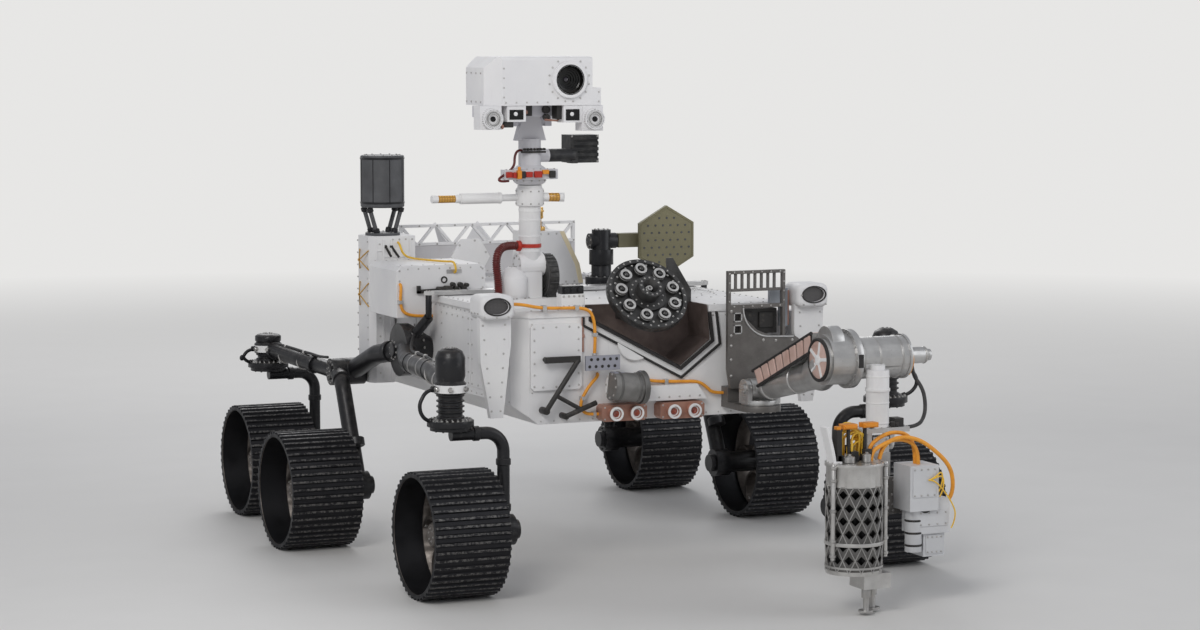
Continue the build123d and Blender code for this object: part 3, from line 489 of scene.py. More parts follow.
silver = metal_finish("machined_aluminium", (0.66, 0.655, 0.645), (0.50, 0.495, 0.49), 0.36)
dress("differential_beam", silver, edge=1.2)
bolts = bmesh.new()
BEAM_Y, BEAM_TOP = -230, 1157
bolt_circle(bolts, (0, BEAM_Y, BEAM_TOP + 3), UP, 46, 12, 4.5)
for side in (-1, 1):
    bolt_circle(bolts, (side * 678, BEAM_Y, BEAM_TOP), UP, 10, 4, 3)
    bolt_row(bolts, (side * 90, BEAM_Y, BEAM_TOP), (side * 560, BEAM_Y, BEAM_TOP), 8, UP, 4)
make("beam_bolts", bolts, steel)


# Hull
# The closed body is aluminium sheet over a machined frame, painted matt white. Rows of small
# screws hold its removable side panels and the pan under its belly.
dress("hull", white, edge=3)


def slab(mesh, low, high):
    """A straight-sided block between two corners of the drawings."""
    corners = [spot(x, y, z) for x in (low[0], high[0]) for y in (low[1], high[1]) for z in (low[2], high[2])]
    verts = [mesh.verts.new(corner) for corner in corners]
    for face in ((0, 1, 3, 2), (4, 6, 7, 5), (0, 4, 5, 1), (2, 3, 7, 6), (0, 2, 6, 4), (1, 5, 7, 3)):
        mesh.faces.new([verts[number] for number in face])


BACK = Vector((0, 1, 0))
FRONT = -BACK
HULL_SIDE, HULL_FRONT, HULL_REAR = 620, -1100, 660
BELLY = 629
PANEL_THICK = 3
PANEL_LOW, PANEL_HIGH = 770, 1075
panels = bmesh.new()
screws = bmesh.new()
for side in (-1, 1):
    face = side * HULL_SIDE
    proud = side * (HULL_SIDE + PANEL_THICK)
    out = PORT * side
    for y0, y1 in ((-985, -600), (-585, -235), (80, 335), (350, 620)):
        slab(panels, (min(face, proud), y0, PANEL_LOW), (max(face, proud), y1, PANEL_HIGH))
        for z in (PANEL_LOW + 12, PANEL_HIGH - 12):
            bolt_row(screws, (proud, y0 + 14, z), (proud, y1 - 14, z), round((y1 - y0) / 60), out)
        for y in (y0 + 14, y1 - 14):
            bolt_row(screws, (proud, y, PANEL_LOW + 60), (proud, y, PANEL_HIGH - 60), 4, out)
    for z, count in ((1092, 34), (748, 28)):
        bolt_row(screws, (face, -1030, z), (face, 640, z), count, out, 3)
    bolt_row(screws, (side * 545, HULL_FRONT, 790), (side * 545, HULL_FRONT, 1080), 8, FRONT, 3)
    bolt_row(screws, (side * 590, HULL_REAR, 770), (side * 590, HULL_REAR, 1080), 8, BACK, 3)
    x0, x1 = sorted((side * 20, side * 520))
    lid = HULL_REAR + PANEL_THICK
    slab(panels, (x0, HULL_REAR, 700), (x1, lid, PANEL_HIGH))
    for z in (712, PANEL_HIGH - 12):
        bolt_row(screws, (x0 + 14, lid, z), (x1 - 14, lid, z), 9, BACK)
    bolt_row(screws, (side * 410, -830, BELLY), (side * 410, 490, BELLY), 20, DOWN, 4)
bolt_row(screws, (-505, HULL_FRONT, 668), (505, HULL_FRONT, 668), 18, FRONT, 3)
bolt_row(screws, (300, HULL_FRONT, 1088), (540, HULL_FRONT, 1088), 5, FRONT, 3)
for y in (-840, 500):
    bolt_row(screws, (-360, y, BELLY), (360, y, BELLY), 11, DOWN, 4)
make("hull_panels", panels, white, edge=1.2)
paint_screws = metal_finish("painted_screws", (0.60, 0.59, 0.575), (0.46, 0.45, 0.44), 0.45, 0.5)
make("hull_screws", screws, paint_screws)


# Nose
# A flat cover, a ledge, a grey drum on a post and a drilled bar are screwed to the hull's front.
# Two dark braces and a flat bar stand off the cover on short posts.
copper = metal_finish("copper_housing", (0.50, 0.27, 0.20), (0.34, 0.18, 0.14), 0.4, 0.45, slot="copper_pink")
dark = black_finish("dark_fittings", (0.035, 0.033, 0.032), (0.16, 0.14, 0.12), 0.5)


def slabs(mesh, *blocks):
    """Several blocks. Column names: left, right, front, back, low, high."""
    for x0, x1, y0, y1, z0, z1 in blocks:
        slab(mesh, (x0, y0, z0), (x1, y1, z1))


def prism(mesh, corners, push):
    """A plate: a flat outline of corners, pushed through by a thickness in mm."""
    near = [placed(corner) for corner in corners]
    far = [corner + Vector(push) / 1000 for corner in near]
    skin(mesh, [[mesh.verts.new(corner) for corner in ring] for ring in (near, far)], closed=False)


def nose_finish():
    """White paint on the cover and ledge, machined grey on the drum, lilac on the drilled bar."""
    finish = white_finish("nose_finish")
    bare = finish.along("Y") < (HULL_FRONT - 56) / 1000 + DRAWING_Y
    metal = finish.mottle(0.05, 0.3, 0.7, (0.30, 0.295, 0.285), (0.20, 0.195, 0.19))
    finish.over(bare, finish.blend(finish.along("Z") > 0.87, metal, (0.40, 0.405, 0.46)))
    finish.put("Metallic", bare * 0.7)
    return finish


dress("nose_panels", nose_finish(), edge=2.5)
dress("nose_struts", dark, edge=1.2)
COVER_Y, DRUM_Y = HULL_FRONT - 14, HULL_FRONT - 92
screws = bmesh.new()
for x in (-540, -338):
    bolt_row(screws, (x, COVER_Y, 818), (x, COVER_Y, 1062), 6, FRONT)
for z in (1066, 814):
    bolt_row(screws, (-500, COVER_Y, z), (-380, COVER_Y, z), 3, FRONT)
bolt_row(screws, (-25, HULL_FRONT - 46, 750), (215, HULL_FRONT - 46, 750), 6, FRONT)
bolt_circle(screws, (-70, DRUM_Y, 803), PORT, 58, 10, 4)
bolt_circle(screws, (-222, DRUM_Y, 815), (-1, 0, 0.11), 50, 8, 4)
make("nose_screws", screws, paint_screws)
# Dark discs where the drilled bar has its holes: painted shade in the holes.
holes = bmesh.new()
for row, z in enumerate((898, 928)):
    for number in range(5):
        place = (-312 + 8 * row + 29 * number, HULL_FRONT - 72, z)
        turned(holes, place, FRONT, [(-1, 6.8), (0.8, 6.8), (1, 5)], 18)
make("bar_hole_painted_shade", holes, dark)
BOSS_X, BOSS_Z, BOSS_RADIUS = -72, 990, 84
SEAM_X, SEAM_Z, SEAM_SLOPE, SEAM_OFFSET = -272, 1117, -0.5855, 44
across_seam = Vector((SEAM_SLOPE, 0, -1)).normalized()
outline = []
for cos, sin in around(48):
    place = (BOSS_X + BOSS_RADIUS * cos, HULL_FRONT, BOSS_Z + BOSS_RADIUS * sin)
    if Vector((place[0] - SEAM_X, 0, place[2] - SEAM_Z)).dot(across_seam) > SEAM_OFFSET:
        outline.append(place)
boss = bmesh.new()
prism(boss, outline, (0, -15, 0))
make("nose_boss", boss, white, edge=7)
strip = bmesh.new()
slabs(strip, (-319, -311, HULL_FRONT - 9, HULL_FRONT, 955, 1100),
      (-322, -308, HULL_FRONT - 12, HULL_FRONT, 1016, 1030))
make("nose_strip", strip, copper, edge=1.5)
rings = bmesh.new()
for radius in (18, 30, 42):
    ring = [(-1, radius), (2.2, radius + 1), (2.2, radius + 4), (-1, radius + 5)]
    turned(rings, (-70, DRUM_Y, 803), PORT, ring, 40, closed=True)
for x, z in ((-200, 812), (-116, 804)):
    sleeve(rings, (x, DRUM_Y, z), (x + 14, DRUM_Y, z - 1), 64.5, 40)
sleeve(rings, (-92, DRUM_Y, 803.5), (-69, DRUM_Y, 803), 71.2, 48)
drum_metal = metal_finish("drum_metal", (0.20, 0.196, 0.19), (0.13, 0.127, 0.122), 0.4, 0.6,
                          slot="grey_paint")
make("nose_drum_rings", rings, drum_metal)


# Deck
# A machined plate closes the hull and overhangs it a little. Screws run round its edge and
# across it, threaded inserts wait for what may be fitted, and a small box stands at its front.
def rod(mesh, first, last, radius, steps=12):
    """A round bar between two places."""
    line = placed(last) - placed(first)
    turned(mesh, first, line, [(0, radius), (line.length * 1000, radius)], steps)


dress("deck", white, edge=3)
DECK_TOP = 1135
screws = bmesh.new()
for x in (-618, 618):
    bolt_row(screws, (x, -1010, DECK_TOP), (x, 655, DECK_TOP), 30, UP)
for x0, x1 in ((-545, -300), (310, 545)):
    bolt_row(screws, (x0, -1092, DECK_TOP), (x1, -1092, DECK_TOP), 5, UP)
for y in (-640, -150, 560, 656):
    bolt_row(screws, (-590, y, DECK_TOP), (590, y, DECK_TOP), 20, UP)
for y in (-790, -700, -480, -330, 40):
    bolt_row(screws, (90, y, DECK_TOP), (580, y, DECK_TOP), 8, UP, 3)
make("deck_screws", screws, paint_screws)
inserts = bmesh.new()
for x in (300, 560):
    for y in (-560, -380):
        washer = [(0, 7.2), (1.8, 7.8), (1.8, 12.5), (-0.5, 13.2), (-0.5, 7.2)]
        turned(inserts, (x, y, DECK_TOP), UP, washer, closed=True)
make("lifting_bushes", inserts, steel)
box = bmesh.new()
slab(box, (-384, -1040, DECK_TOP), (-276, -985, 1196))
make("deck_front_box", box, white, edge=3)
sockets = bmesh.new()
slab(sockets, (-380, -1036, 1196), (-280, -990, 1230))
for x in (-362, -330, -298):
    rod(sockets, (x, -1036, 1213), (x, -1044, 1213), 11)
make("deck_front_sockets", sockets, black, edge=1.5)
bolts = bmesh.new()
for x in (-374, -350, -326, -302, -286):
    for z in (1144, 1187):
        bolt(bolts, (x, -1040, z), FRONT, 4)
make("deck_box_bolts", bolts, paint_screws)


# Bit carousel
# A tilted ring of bit pockets turns in a bay in the hull's nose. The bay is lined with dark bronze
# sheet, partly darkened as painted shade, and a rubber seal and a thin dark rim run round its mouth.
# The liner's dark bronze is partly the sheet's own colour and partly painted shade of the deep bay.
bronze_and_bay_shade = metal_finish("bronze_liner", (0.21, 0.165, 0.150), (0.12, 0.09, 0.08), 0.36, 0.35,
                      slot="dark_composite")
rubber = black_finish("seal_rubber", (0.030, 0.028, 0.028), (0.07, 0.066, 0.064), 0.6, slot="black_gloss")
dress("bay_rim", rubber, edge=1)
BAY = [(-268, 1134), (-268, 1094), (143, 879), (282, 985), (269, 1134)]
liner = bmesh.new()
near, far = [[liner.verts.new(spot(x, HULL_FRONT + depth, z)) for x, z in BAY] for depth in (-1, 200)]
for number in range(len(BAY) - 1):
    liner.faces.new((near[number], near[number + 1], far[number + 1], far[number]))
liner.faces.new(far)
shell = make("bay_liner", liner, bronze_and_bay_shade).modifiers.new("thickness", "SOLIDIFY")
shell.thickness = 0.0015
shell.offset = 0

LEAN = math.radians(40)
CAROUSEL = spot(-12, HULL_FRONT + 20, 1172)
tilt_up = Vector((0, math.sin(LEAN), math.cos(LEAN)))
tilt_out = Vector((0, -math.cos(LEAN), math.sin(LEAN)))


def on_ring(angle, radius, height):
    """A place on the tilted ring, from its turn in degrees, its radius and its height in mm."""
    turn = math.radians(angle)
    flat = PORT * math.cos(turn) + tilt_up * math.sin(turn)
    return CAROUSEL + flat * radius / 1000 + tilt_out * height / 1000


carousel_metal = metal_finish("carousel_metal", (0.12, 0.118, 0.115), (0.055, 0.054, 0.054), 0.36, 0.75,
                              slot="dark_composite")
dress("bit_carousel", carousel_metal, edge=1.2)
bolts = bmesh.new()
pale_rims = bmesh.new()
bits = bmesh.new()
for pocket in range(9):
    angle = 10 + 40 * pocket
    centre = on_ring(angle, 122, 44)
    ring = [(-2, 15.5), (3, 16), (5, 18.5), (4, 26.2), (-10, 27.5), (-10, 26.5), (-2, 26)]
    turned(pale_rims, centre, tilt_out, ring, 32, closed=True)
    turned(bits, centre, tilt_out, [(-16, 12), (-4, 12), (2, 9), (4, 9), (8, 3)], 18)
    for turn in (0, 120, 240):
        lug = Matrix.Rotation(math.radians(turn), 3, tilt_out) @ tilt_up
        turned(bits, centre + lug * 0.010, tilt_out, [(-14, 2.8), (3, 2.8)], 8)
    for offset in (-13, 13):
        bolt(bolts, on_ring(angle + offset, 148, 34), tilt_out)
for number in range(30):
    bolt(bolts, on_ring(12 * number + 6, 169, 34), tilt_out, 3.2)
for number in range(48):
    foot = on_ring(7.5 * number, 176, 17)
    turned(bits, foot, on_ring(7.5 * number, 190, 17) - foot, [(0, 5.2), (4, 4.5)], 6)
hub = on_ring(90, 6, 0)
COIL_STEPS = 40
coil = []
for number in range(COIL_STEPS + 1):
    share = number / COIL_STEPS
    reach = Matrix.Rotation(5.5 * share, 3, tilt_out) @ tilt_up * (0.010 + 0.022 * share)
    coil.append(hub + reach + tilt_out * 0.060)
for first, last in zip(coil, coil[1:]):
    rod(pale_rims, first, last, 2.4, 8)
turned(pale_rims, hub, tilt_out, [(46, 6.5), (66, 6.5), (66, 11.5), (46, 11.5)], 28, closed=True)
funnel = [(46.5, 33.5), (76.5, 33.5), (78.5, 35.5), (78.5, 44), (77.5, 44), (77.5, 33.8), (47.5, 12)]
turned(bits, hub, tilt_out, funnel, 40, closed=True)
bolt_circle(bolts, hub + tilt_out * 0.078, tilt_out, 44, 12, 3.2)
bolt_circle(bolts, hub + tilt_out * 0.030, tilt_out, 70, 16, 3)
make("bit_carousel_bolts", bolts, steel)
pale_metal = metal_finish("pocket_rims", (0.62, 0.615, 0.60), (0.46, 0.455, 0.45), 0.45, 0.35)
make("bit_pocket_rims", pale_rims, pale_metal)
make("drill_bits", bits, carousel_metal)


# Fairings and hazard cameras
# A white moulded hood covers each front corner, with a dark oval window and a tapering leg.
# Pairs of lidless cameras in copper-coloured housings look ahead and behind, under the deck.
WINDOW_X, WINDOW_Y, WINDOW_Z = 740, HULL_FRONT - 96, 1168


def fairing_finish():
    """White paint on the hoods, smoked glass with fine holes in the oval windows."""
    finish = white_finish("fairing_paint")
    front = (WINDOW_Y + 14) / 1000 + DRAWING_Y
    glass = finish.inside("Y", front, front + 0.0114)
    ovals = [finish.reach(spot(x, HULL_FRONT - 72, WINDOW_Z), (1 / 0.0541, 0, 1 / 0.0321)) < 1.0
             for x in (-WINDOW_X, WINDOW_X)]
    glass = glass * (ovals[0] + ovals[1])
    dots = finish.along("X").wave(0.006) * finish.along("Z").wave(0.006)
    finish.over(glass, finish.blend(dots.between(0.5, 0.7), (0.030, 0.028, 0.030), (0.085, 0.075, 0.075)))
    finish.put("Coat Weight", glass)
    return finish


dress("fairings", fairing_finish(), edge=3)
gasket = bmesh.new()
screws = bmesh.new()
for side in (-1, 1):
    rings = []
    for grow, depth in ((0, 4), (0, -2.2), (5, -2.8), (6.5, 1)):
        places = [(side * WINDOW_X + (54 + grow) * cos, WINDOW_Y + depth, WINDOW_Z + (32 + grow) * sin)
                  for cos, sin in around(48)]
        rings.append([gasket.verts.new(spot(*place)) for place in places])
    skin(gasket, rings, closed=True)
    for x, z in ((679, 1168), (798, 1126), (690, 1126), (742, 1124)):
        bolt(screws, (side * x, WINDOW_Y, z), FRONT)
    for top, foot in ((690, 712), (790, 752)):
        bolt_row(screws, (side * top, HULL_FRONT - 58, 1090), (side * foot, HULL_FRONT - 58, 730), 7, FRONT)
    bolt_row(screws, (side * 812, HULL_FRONT - 60, 1140), (side * 812, HULL_FRONT + 10, 1140), 3, PORT * side)
make("window_gaskets", gasket, rubber)

dress("hazard_cameras", copper)


def lens_finish(name, colour, glow):
    """Coated glass, with a stain of colour that drifts over it."""
    finish = Finish(name, "lens", 0.06, Coat_Weight=1.0, Coat_Roughness=0.02)
    finish.put("Base Color", finish.mottle(0.02, 0.35, 0.65, colour, glow, detail=2))
    finish.put("Roughness", finish.noise(0.05) * 0.06 + 0.03)
    return finish


red_glass = lens_finish("red_lens", (0.16, 0.020, 0.012), (0.32, 0.06, 0.03))
bezels = bmesh.new()
eyes = bmesh.new()
# column names: x of the pair's middle, face it stands on, which way, z, half the gap, screw's x
HAZARD = [
    (-147, HULL_FRONT, -1, 694, 48, 92),
    (124, HULL_FRONT, -1, 691, 48, 92),
    (-540, HULL_REAR, 1, 800, 32.3, 60),
    (540, HULL_REAR, 1, 800, 32.3, 60),
]
for x, y, way, z, half_gap, wide in HAZARD:
    look = BACK * way
    for dx in (-half_gap, half_gap):
        face = (x + dx, y + way * 92, z)
        ring = [(-3, 21.5), (2.5, 21.5), (3.5, 23), (3, 30), (-3, 31.2)]
        turned(bezels, face, look, ring, 36, closed=True)
        turned(bezels, face, look, [(-14, 20.5), (-10, 20.5), (-10, 13), (-14, 13)], 30, closed=True)
        turned(eyes, face, look, [(-19, 20.5), (-13, 20), (-10, 15), (-8.5, 8), (-8, 0.5)], 30)
    for dx in (-wide, wide):
        for dz in (-24, 26):
            bolt(screws, (x + dx, y + way * 66, z + dz), look, 3)
make("camera_bezels", bezels, white)
make("camera_eyes", eyes, red_glass)
make("front_screws", screws, paint_screws)


# Starboard boxes
# A tall white cover at the rear corner, with pressed channels and rungs on its front and thin
# gilt stays on its side, and a wide low box in front of it that carries a few small fittings.
dress("starboard_boxes", white, edge=3)
gold = metal_finish("gold_plate", (0.80, 0.52, 0.18), (0.64, 0.38, 0.12), 0.3, 1.0, slot="gold_plate")
TALL_FACE, TALL_SIDE = 330, -750
channels = bmesh.new()
for x in (-722, -686, -648):
    slab(channels, (x - 4, TALL_FACE - 5, 704), (x + 4, TALL_FACE + 1, 1352))
for z in range(760, 1301, 108):
    slab(channels, (-722, TALL_FACE - 4, z - 3), (-686, TALL_FACE + 1, z + 3))
slabs(channels, (-560, -552, 326, 331, 1142, 1352), (-686, -556, 326, 331, 1268, 1275))
make("cover_channels", channels, white, edge=1)
stays = bmesh.new()
for z0, z1 in ((1300, 1212), (1150, 1042)):
    middle = (-776, 410, (z0 + z1) / 2)
    for y in (352, 470):
        rod(stays, (-752, y, z0), middle, 3.2)
        rod(stays, middle, (-752, y, z1), 3.2)
    bolt(stays, middle, STARBOARD, 6)
make("gilt_stays", stays, gold)
hooks = bmesh.new()
for x0, z0, x1, z1 in ((-676, 1318, -650, 1272), (-648, 1318, -612, 1268)):
    rod(hooks, (x0, 326, z0), (x1, 326, z1), 5.5)
    bolt(hooks, (x0, 327, z0), FRONT, 6)
make("cover_hooks", hooks, dark)

BOX_FACE, BOX_TOP = -110, 1262
screws = bmesh.new()
bolt_row(screws, (-704, TALL_FACE, 735), (-704, TALL_FACE, 1330), 8, FRONT)
bolt_row(screws, (-640, TALL_FACE, 1350), (-545, TALL_FACE, 1350), 4, FRONT)
for y in (365, 500):
    bolt_row(screws, (TALL_SIDE, y, 720), (TALL_SIDE, y, 1340), 12, STARBOARD)
bolt_row(screws, (-770, BOX_FACE, 1150), (-770, BOX_FACE, 1240), 3, FRONT)
bolt_row(screws, (-730, BOX_FACE, 1247), (-380, BOX_FACE, 1247), 8, FRONT, 3)
bolt_row(screws, (-372, BOX_FACE, 1155), (-372, BOX_FACE, 1240), 3, FRONT)
for y in (-95, 235):
    bolt_row(screws, (-760, y, BOX_TOP), (-385, y, BOX_TOP), 8, UP, 3)
bolt_circle(screws, (-272, 288, 1262), FRONT, 78, 6, 4, 0.5)
make("box_screws", screws, paint_screws)
fittings = bmesh.new()
turned(fittings, (-558, BOX_FACE, 1195), FRONT, [(-1, 9), (4, 10), (4, 15), (-1, 16)], 28, closed=True)
slabs(fittings, (-690, -676, -128, BOX_FACE, 1138, 1172), (-690, -648, -128, -116, 1138, 1150))
rod(fittings, (-676, -122, 1150), (-590, -122, 1152), 6)
sleeve(fittings, (-600, -122, 1152), (-560, -124, 1152), 14, 20)
sleeve(fittings, (-566, -124, 1152), (-528, -126, 1148), 19, 20)
for x, z, radius in ((-522, 1174, 10), (-506, 1154, 12), (-486, 1172, 11), (-470, 1156, 12), (-456, 1170, 9)):
    sleeve(fittings, (x, BOX_FACE, z), (x, BOX_FACE - 30, z), radius, 18)
make("box_plugs", fittings, dark)
tag = bmesh.new()
slab(tag, (-546, BOX_FACE - 2, 1222), (-474, BOX_FACE, 1240))
make("blank_tag", tag, silver)


# Port covers
# A white tapered cover on the deck, with a cream strip down its sloping edge, and behind it a
# flat box with a screwed lid.
dress("port_covers", white, edge=3)
cream = white_finish("cream_paint", (0.90, 0.80, 0.56), (0.80, 0.68, 0.46), 0.5)
strip = bmesh.new()
COVER_FACE = 100
UPPER = [(196, 1228), (118, 1382), (96, 1382), (172, 1228)]
LOWER = [(196, 1228), (172, 1228), (192, 1140), (214, 1140)]
for outline in (UPPER, LOWER):
    prism(strip, [(x, COVER_FACE - 2, z) for x, z in outline], (0, 2, 0))
make("cream_strip", strip, cream)
screws = bmesh.new()
bolt_row(screws, (-56, COVER_FACE, 1150), (-56, COVER_FACE, 1370), 7, FRONT)
bolt_row(screws, (-40, COVER_FACE, 1372), (80, COVER_FACE, 1372), 4, FRONT)
bolt_row(screws, (-40, COVER_FACE, 1148), (170, COVER_FACE, 1148), 6, FRONT)
LID_TOP = 1158
for y in (125, 405):
    bolt_row(screws, (350, y, LID_TOP), (570, y, LID_TOP), 7, UP)
for x in (345, 575):
    bolt_row(screws, (x, 150, LID_TOP), (x, 380, LID_TOP), 6, UP)
make("port_screws", screws, paint_screws)


# Generator and heat exchangers
# A finned drum full of warm pellets is bolted to the hull's back, tilted up. Upright plates on
# each side and a panel in front of it take up its heat, and are edged with small screws.
dress("generator", white)
# The plates and ribs get a darker lilac-grey paint than the white elsewhere: painted shade.
shaded_radiator = white_finish("radiator_paint", (0.60, 0.59, 0.60), (0.48, 0.465, 0.475), 0.5)
dress("heat_exchangers", shaded_radiator)
GENERATOR_TILT = math.radians(24)
drum_way = Vector((0, math.cos(GENERATOR_TILT), math.sin(GENERATOR_TILT)))
drum_foot = spot(0, HULL_REAR + 150, 900)
screws = bmesh.new()
bolt_circle(screws, drum_foot + drum_way * 0.590, drum_way, 72, 12, 5.5)
bolt_circle(screws, drum_foot + drum_way * 0.560, drum_way, 118, 16, 5)
bolt_circle(screws, drum_foot, -drum_way, 118, 16, 5)
# column names: first y and z, last y and z, how many
PLATE_ROWS = [
    (690, 1275, 1300, 1275, 11), (690, 785, 1270, 897, 10),
    (1286, 930, 1306, 1230, 6), (688, 830, 688, 1230, 8),
]
ribs = bmesh.new()
for side in (-1, 1):
    face = side * 422
    for y0, z0, y1, z1, count in PLATE_ROWS:
        bolt_row(screws, (face, y0, z0), (face, y1, z1), count, PORT * side, 4)
    left = min(face, face + side * 5)
    for y in range(760, 1240, 80):
        slab(ribs, (left, y - 5, 920), (left + 5, y + 5, 1240))
bolt_row(screws, (-380, 672, 1165), (380, 672, 1165), 12, FRONT)
make("exchanger_screws", screws, paint_screws)
for number in range(5):
    band(ribs, drum_foot + drum_way * (0.04 + 0.11 * number), drum_way, 134, 139, 10, 48)
make("exchanger_ribs", ribs, shaded_radiator, edge=1)


# Rear rail and relay antenna
# A white lattice rail crosses the back of the deck. The relay antenna is a dark grey drum that
# stands on four black struts over the tall cover.
dress("rear_rail", white, edge=1.2)
drum_grey = metal_finish("antenna_grey", (0.11, 0.112, 0.118), (0.075, 0.076, 0.08), 0.5, 0.3,
                         slot="dark_composite")
dress("uhf_antenna", drum_grey, edge=1.5)
RELAY_X, RELAY_Y = -655, 425
trim = bmesh.new()
for z in (1512, 1716):
    band(trim, (RELAY_X, RELAY_Y, z), UP, 100.5, 103, 10, 64, lip=1)
for cos, sin in around(8):
    x, y = RELAY_X + 101 * cos, RELAY_Y + 101 * sin
    rod(trim, (x, y, 1512), (x, y, 1724), 2.2, 8)
for dx in (-1, 1):
    for y in (RELAY_Y - 40, RELAY_Y + 40):
        sleeve(trim, (RELAY_X + dx * 41, y, 1376), (RELAY_X + dx * 47, y, 1398), 15, 16)
        sleeve(trim, (RELAY_X + dx * 72, y, 1474), (RELAY_X + dx * 78, y, 1495), 15, 16)
make("antenna_bands", trim, black)
screws = bmesh.new()
bolt_circle(screws, (RELAY_X, RELAY_Y, 1735), UP, 80, 12, 4)
bolt_circle(screws, (RELAY_X, RELAY_Y, 1378), UP, 70, 8, 4, 0.5)
for x in (*range(-471, 340, 90), 415):
    for z in (1298, 1385):
        bolt(screws, (x, 672, z), FRONT)
make("rail_screws", screws, steel)


# High-gain antenna
# A six-sided dish plate in olive composite turns and tips on a black two-axis gimbal, on a
# post with a bolted foot.
olive = white_finish("dish_paint", (0.225, 0.205, 0.118), (0.170, 0.156, 0.092), 0.6, slot="dish_face")
dress("dish_post", black, edge=1.5)
dress("dish_gimbal", black, edge=1.5)
dress("dish", olive, edge=1.2)
DISH_X, DISH_Z = 262, 1340
PLATE_X, PLATE_Y = DISH_X + 300, -72
screws = bmesh.new()
bolt_circle(screws, (DISH_X, 0, DECK_TOP + 40), UP, 60, 10, 4.5)
make("dish_post_bolts", screws, steel)
screws = bmesh.new()
bolt_circle(screws, (DISH_X - 62, 0, DISH_Z), STARBOARD, 26, 6, 4)
bolt_circle(screws, (DISH_X, 0, DISH_Z + 52), UP, 32, 8, 4)
make("dish_gimbal_bolts", screws, steel, "dish_turn")
lattice = bmesh.new()
corners = [(PLATE_X + 150 * cos, DISH_Z + 150 * sin) for cos, sin in around(6, 30)]
for number, (x, z) in enumerate(corners):
    next_x, next_z = corners[(number + 1) % 6]
    rod(lattice, (x, PLATE_Y, z), (next_x, PLATE_Y, next_z), 2.5, 8)
    rod(lattice, (x, PLATE_Y + 20, z), (PLATE_X, PLATE_Y + 20, DISH_Z), 3.5, 8)
make("dish_stiffeners", lattice, olive, "dish_tilt")
bosses = bmesh.new()
for row in range(-3, 4):
    for column in range(-3, 4):
        dx, dz = column * 38 + (19 if row % 2 == 0 else 0), row * 34
        if math.hypot(dx, dz) < 126:
            turned(bosses, (PLATE_X + dx, PLATE_Y, DISH_Z + dz), FRONT, [(-0.5, 5.5), (1.5, 5)], 12)
for x in (PLATE_X - 50, PLATE_X + 50):
    bolt_row(bosses, (x, -28, DISH_Z - 50), (x, -28, DISH_Z + 50), 3, BACK, 4)
make("dish_bosses", bosses, drum_grey, "dish_tilt")


# Low-gain antenna
# A small stepped horn, gold plated, that is bolted to the top of the port cover. Its steps
# have thin turned rings.
dress("low_gain_antenna", gold, edge=0.8)
HORN_X, HORN_Y = 20, 170
horn = bmesh.new()
for z, radius in ((1402, 15), (1436, 15), (1446, 22.5), (1486, 22.5)):
    band(horn, (HORN_X, HORN_Y, z), UP, radius - 3, radius, 3, 28)
bolt_circle(horn, (HORN_X, HORN_Y, 1400), UP, 23, 6, 3)
make("horn_rings", horn, gold)


# Mast
# The tube rises from a geared foot on the deck. Beside it a dark cable wheel and a capped motor,
# and two slim wind booms with amber film windows half way up. All painted white but the wheel.
def mast_foot_finish():
    """White paint, and dark metal on the cable wheel to port."""
    finish = white_finish("mast_foot_paint")
    wheel = (finish.along("X") > -0.3955) * (finish.along("Z") > 1.173)
    finish.over(wheel, finish.mottle(0.02, 0.35, 0.65, (0.10, 0.098, 0.095), (0.045, 0.044, 0.044)))
    finish.put("Metallic", wheel * 0.7)
    return finish


MAST_X, MAST_Y = -450, -850
dress("mast_foot", mast_foot_finish())
dress("mast_tube", white)
wheel = bmesh.new()
WHEEL_Z = 1262
for radius in (50, 66, 82):
    ring = [(-1, radius), (2.5, radius + 1), (2.5, radius + 7), (-1, radius + 8)]
    turned(wheel, (MAST_X + 98, MAST_Y, WHEEL_Z), PORT, ring, 40, closed=True)
    turned(wheel, (MAST_X + 56, MAST_Y, WHEEL_Z), STARBOARD, ring, 40, closed=True)
for cos, sin in around(24):
    y, z = MAST_Y + 92 * cos, WHEEL_Z + 92 * sin
    if z > 1236:
        rod(wheel, (MAST_X + 58, y, z), (MAST_X + 96, y, z), 3.5, 8)
make("cable_wheel_rings", wheel, carousel_metal)
screws = bmesh.new()
bolt_circle(screws, (MAST_X - 82, MAST_Y - 10, 1305), UP, 14, 4, 3)
bolt_circle(screws, (MAST_X - 82, MAST_Y - 10, 1173), UP, 68, 10)
for side in (-1, 1):
    x = MAST_X + side * 108
    bolt_row(screws, (x, MAST_Y - 78, 1172), (x, MAST_Y + 96, 1172), 5, UP, 4)
    bolt_circle(screws, (MAST_X + side * 60, MAST_Y, 1312), PORT * side, 38, 8)
for cos, sin in around(10):
    reach = Vector((cos, sin, 0))
    for z in (1574, 1627):
        bolt(screws, spot(MAST_X, MAST_Y, z) + reach * 0.0598, reach, 3)
make("mast_screws", screws, steel)
bands = bmesh.new()
for z, high in ((1366, 14), (1430, 8), (1500, 8), (1538, 16)):
    band(bands, (MAST_X, MAST_Y, z), UP, 45.5, 48, high, 40, lip=1)
make("mast_bands", bands, white)


def boom_finish():
    """White paint, with amber film round the tips."""
    finish = white_finish("boom_paint")
    film = finish.inside("X", -0.870, -0.793) + finish.inside("X", -0.378, -0.338)
    squares = finish.along("X").wave(0.012) * finish.along("Z").wave(0.010)
    finish.over(film, finish.blend(squares.between(0.2, 0.8), (0.42, 0.20, 0.02), (0.75, 0.42, 0.05)))
    finish.put("Coat Weight", film * 0.8)
    return finish


dress("wind_booms", boom_finish(), edge=1.5)
BOOM_Z = 1600
tips = bmesh.new()
for x0, x1, radius in ((-872, -896.5, 16.5), (-764, -790, 18), (-582, -596, 24.5)):
    sleeve(tips, (x0, MAST_Y, BOOM_Z), (x1, MAST_Y, BOOM_Z), radius, 24)
make("boom_collars", tips, white)


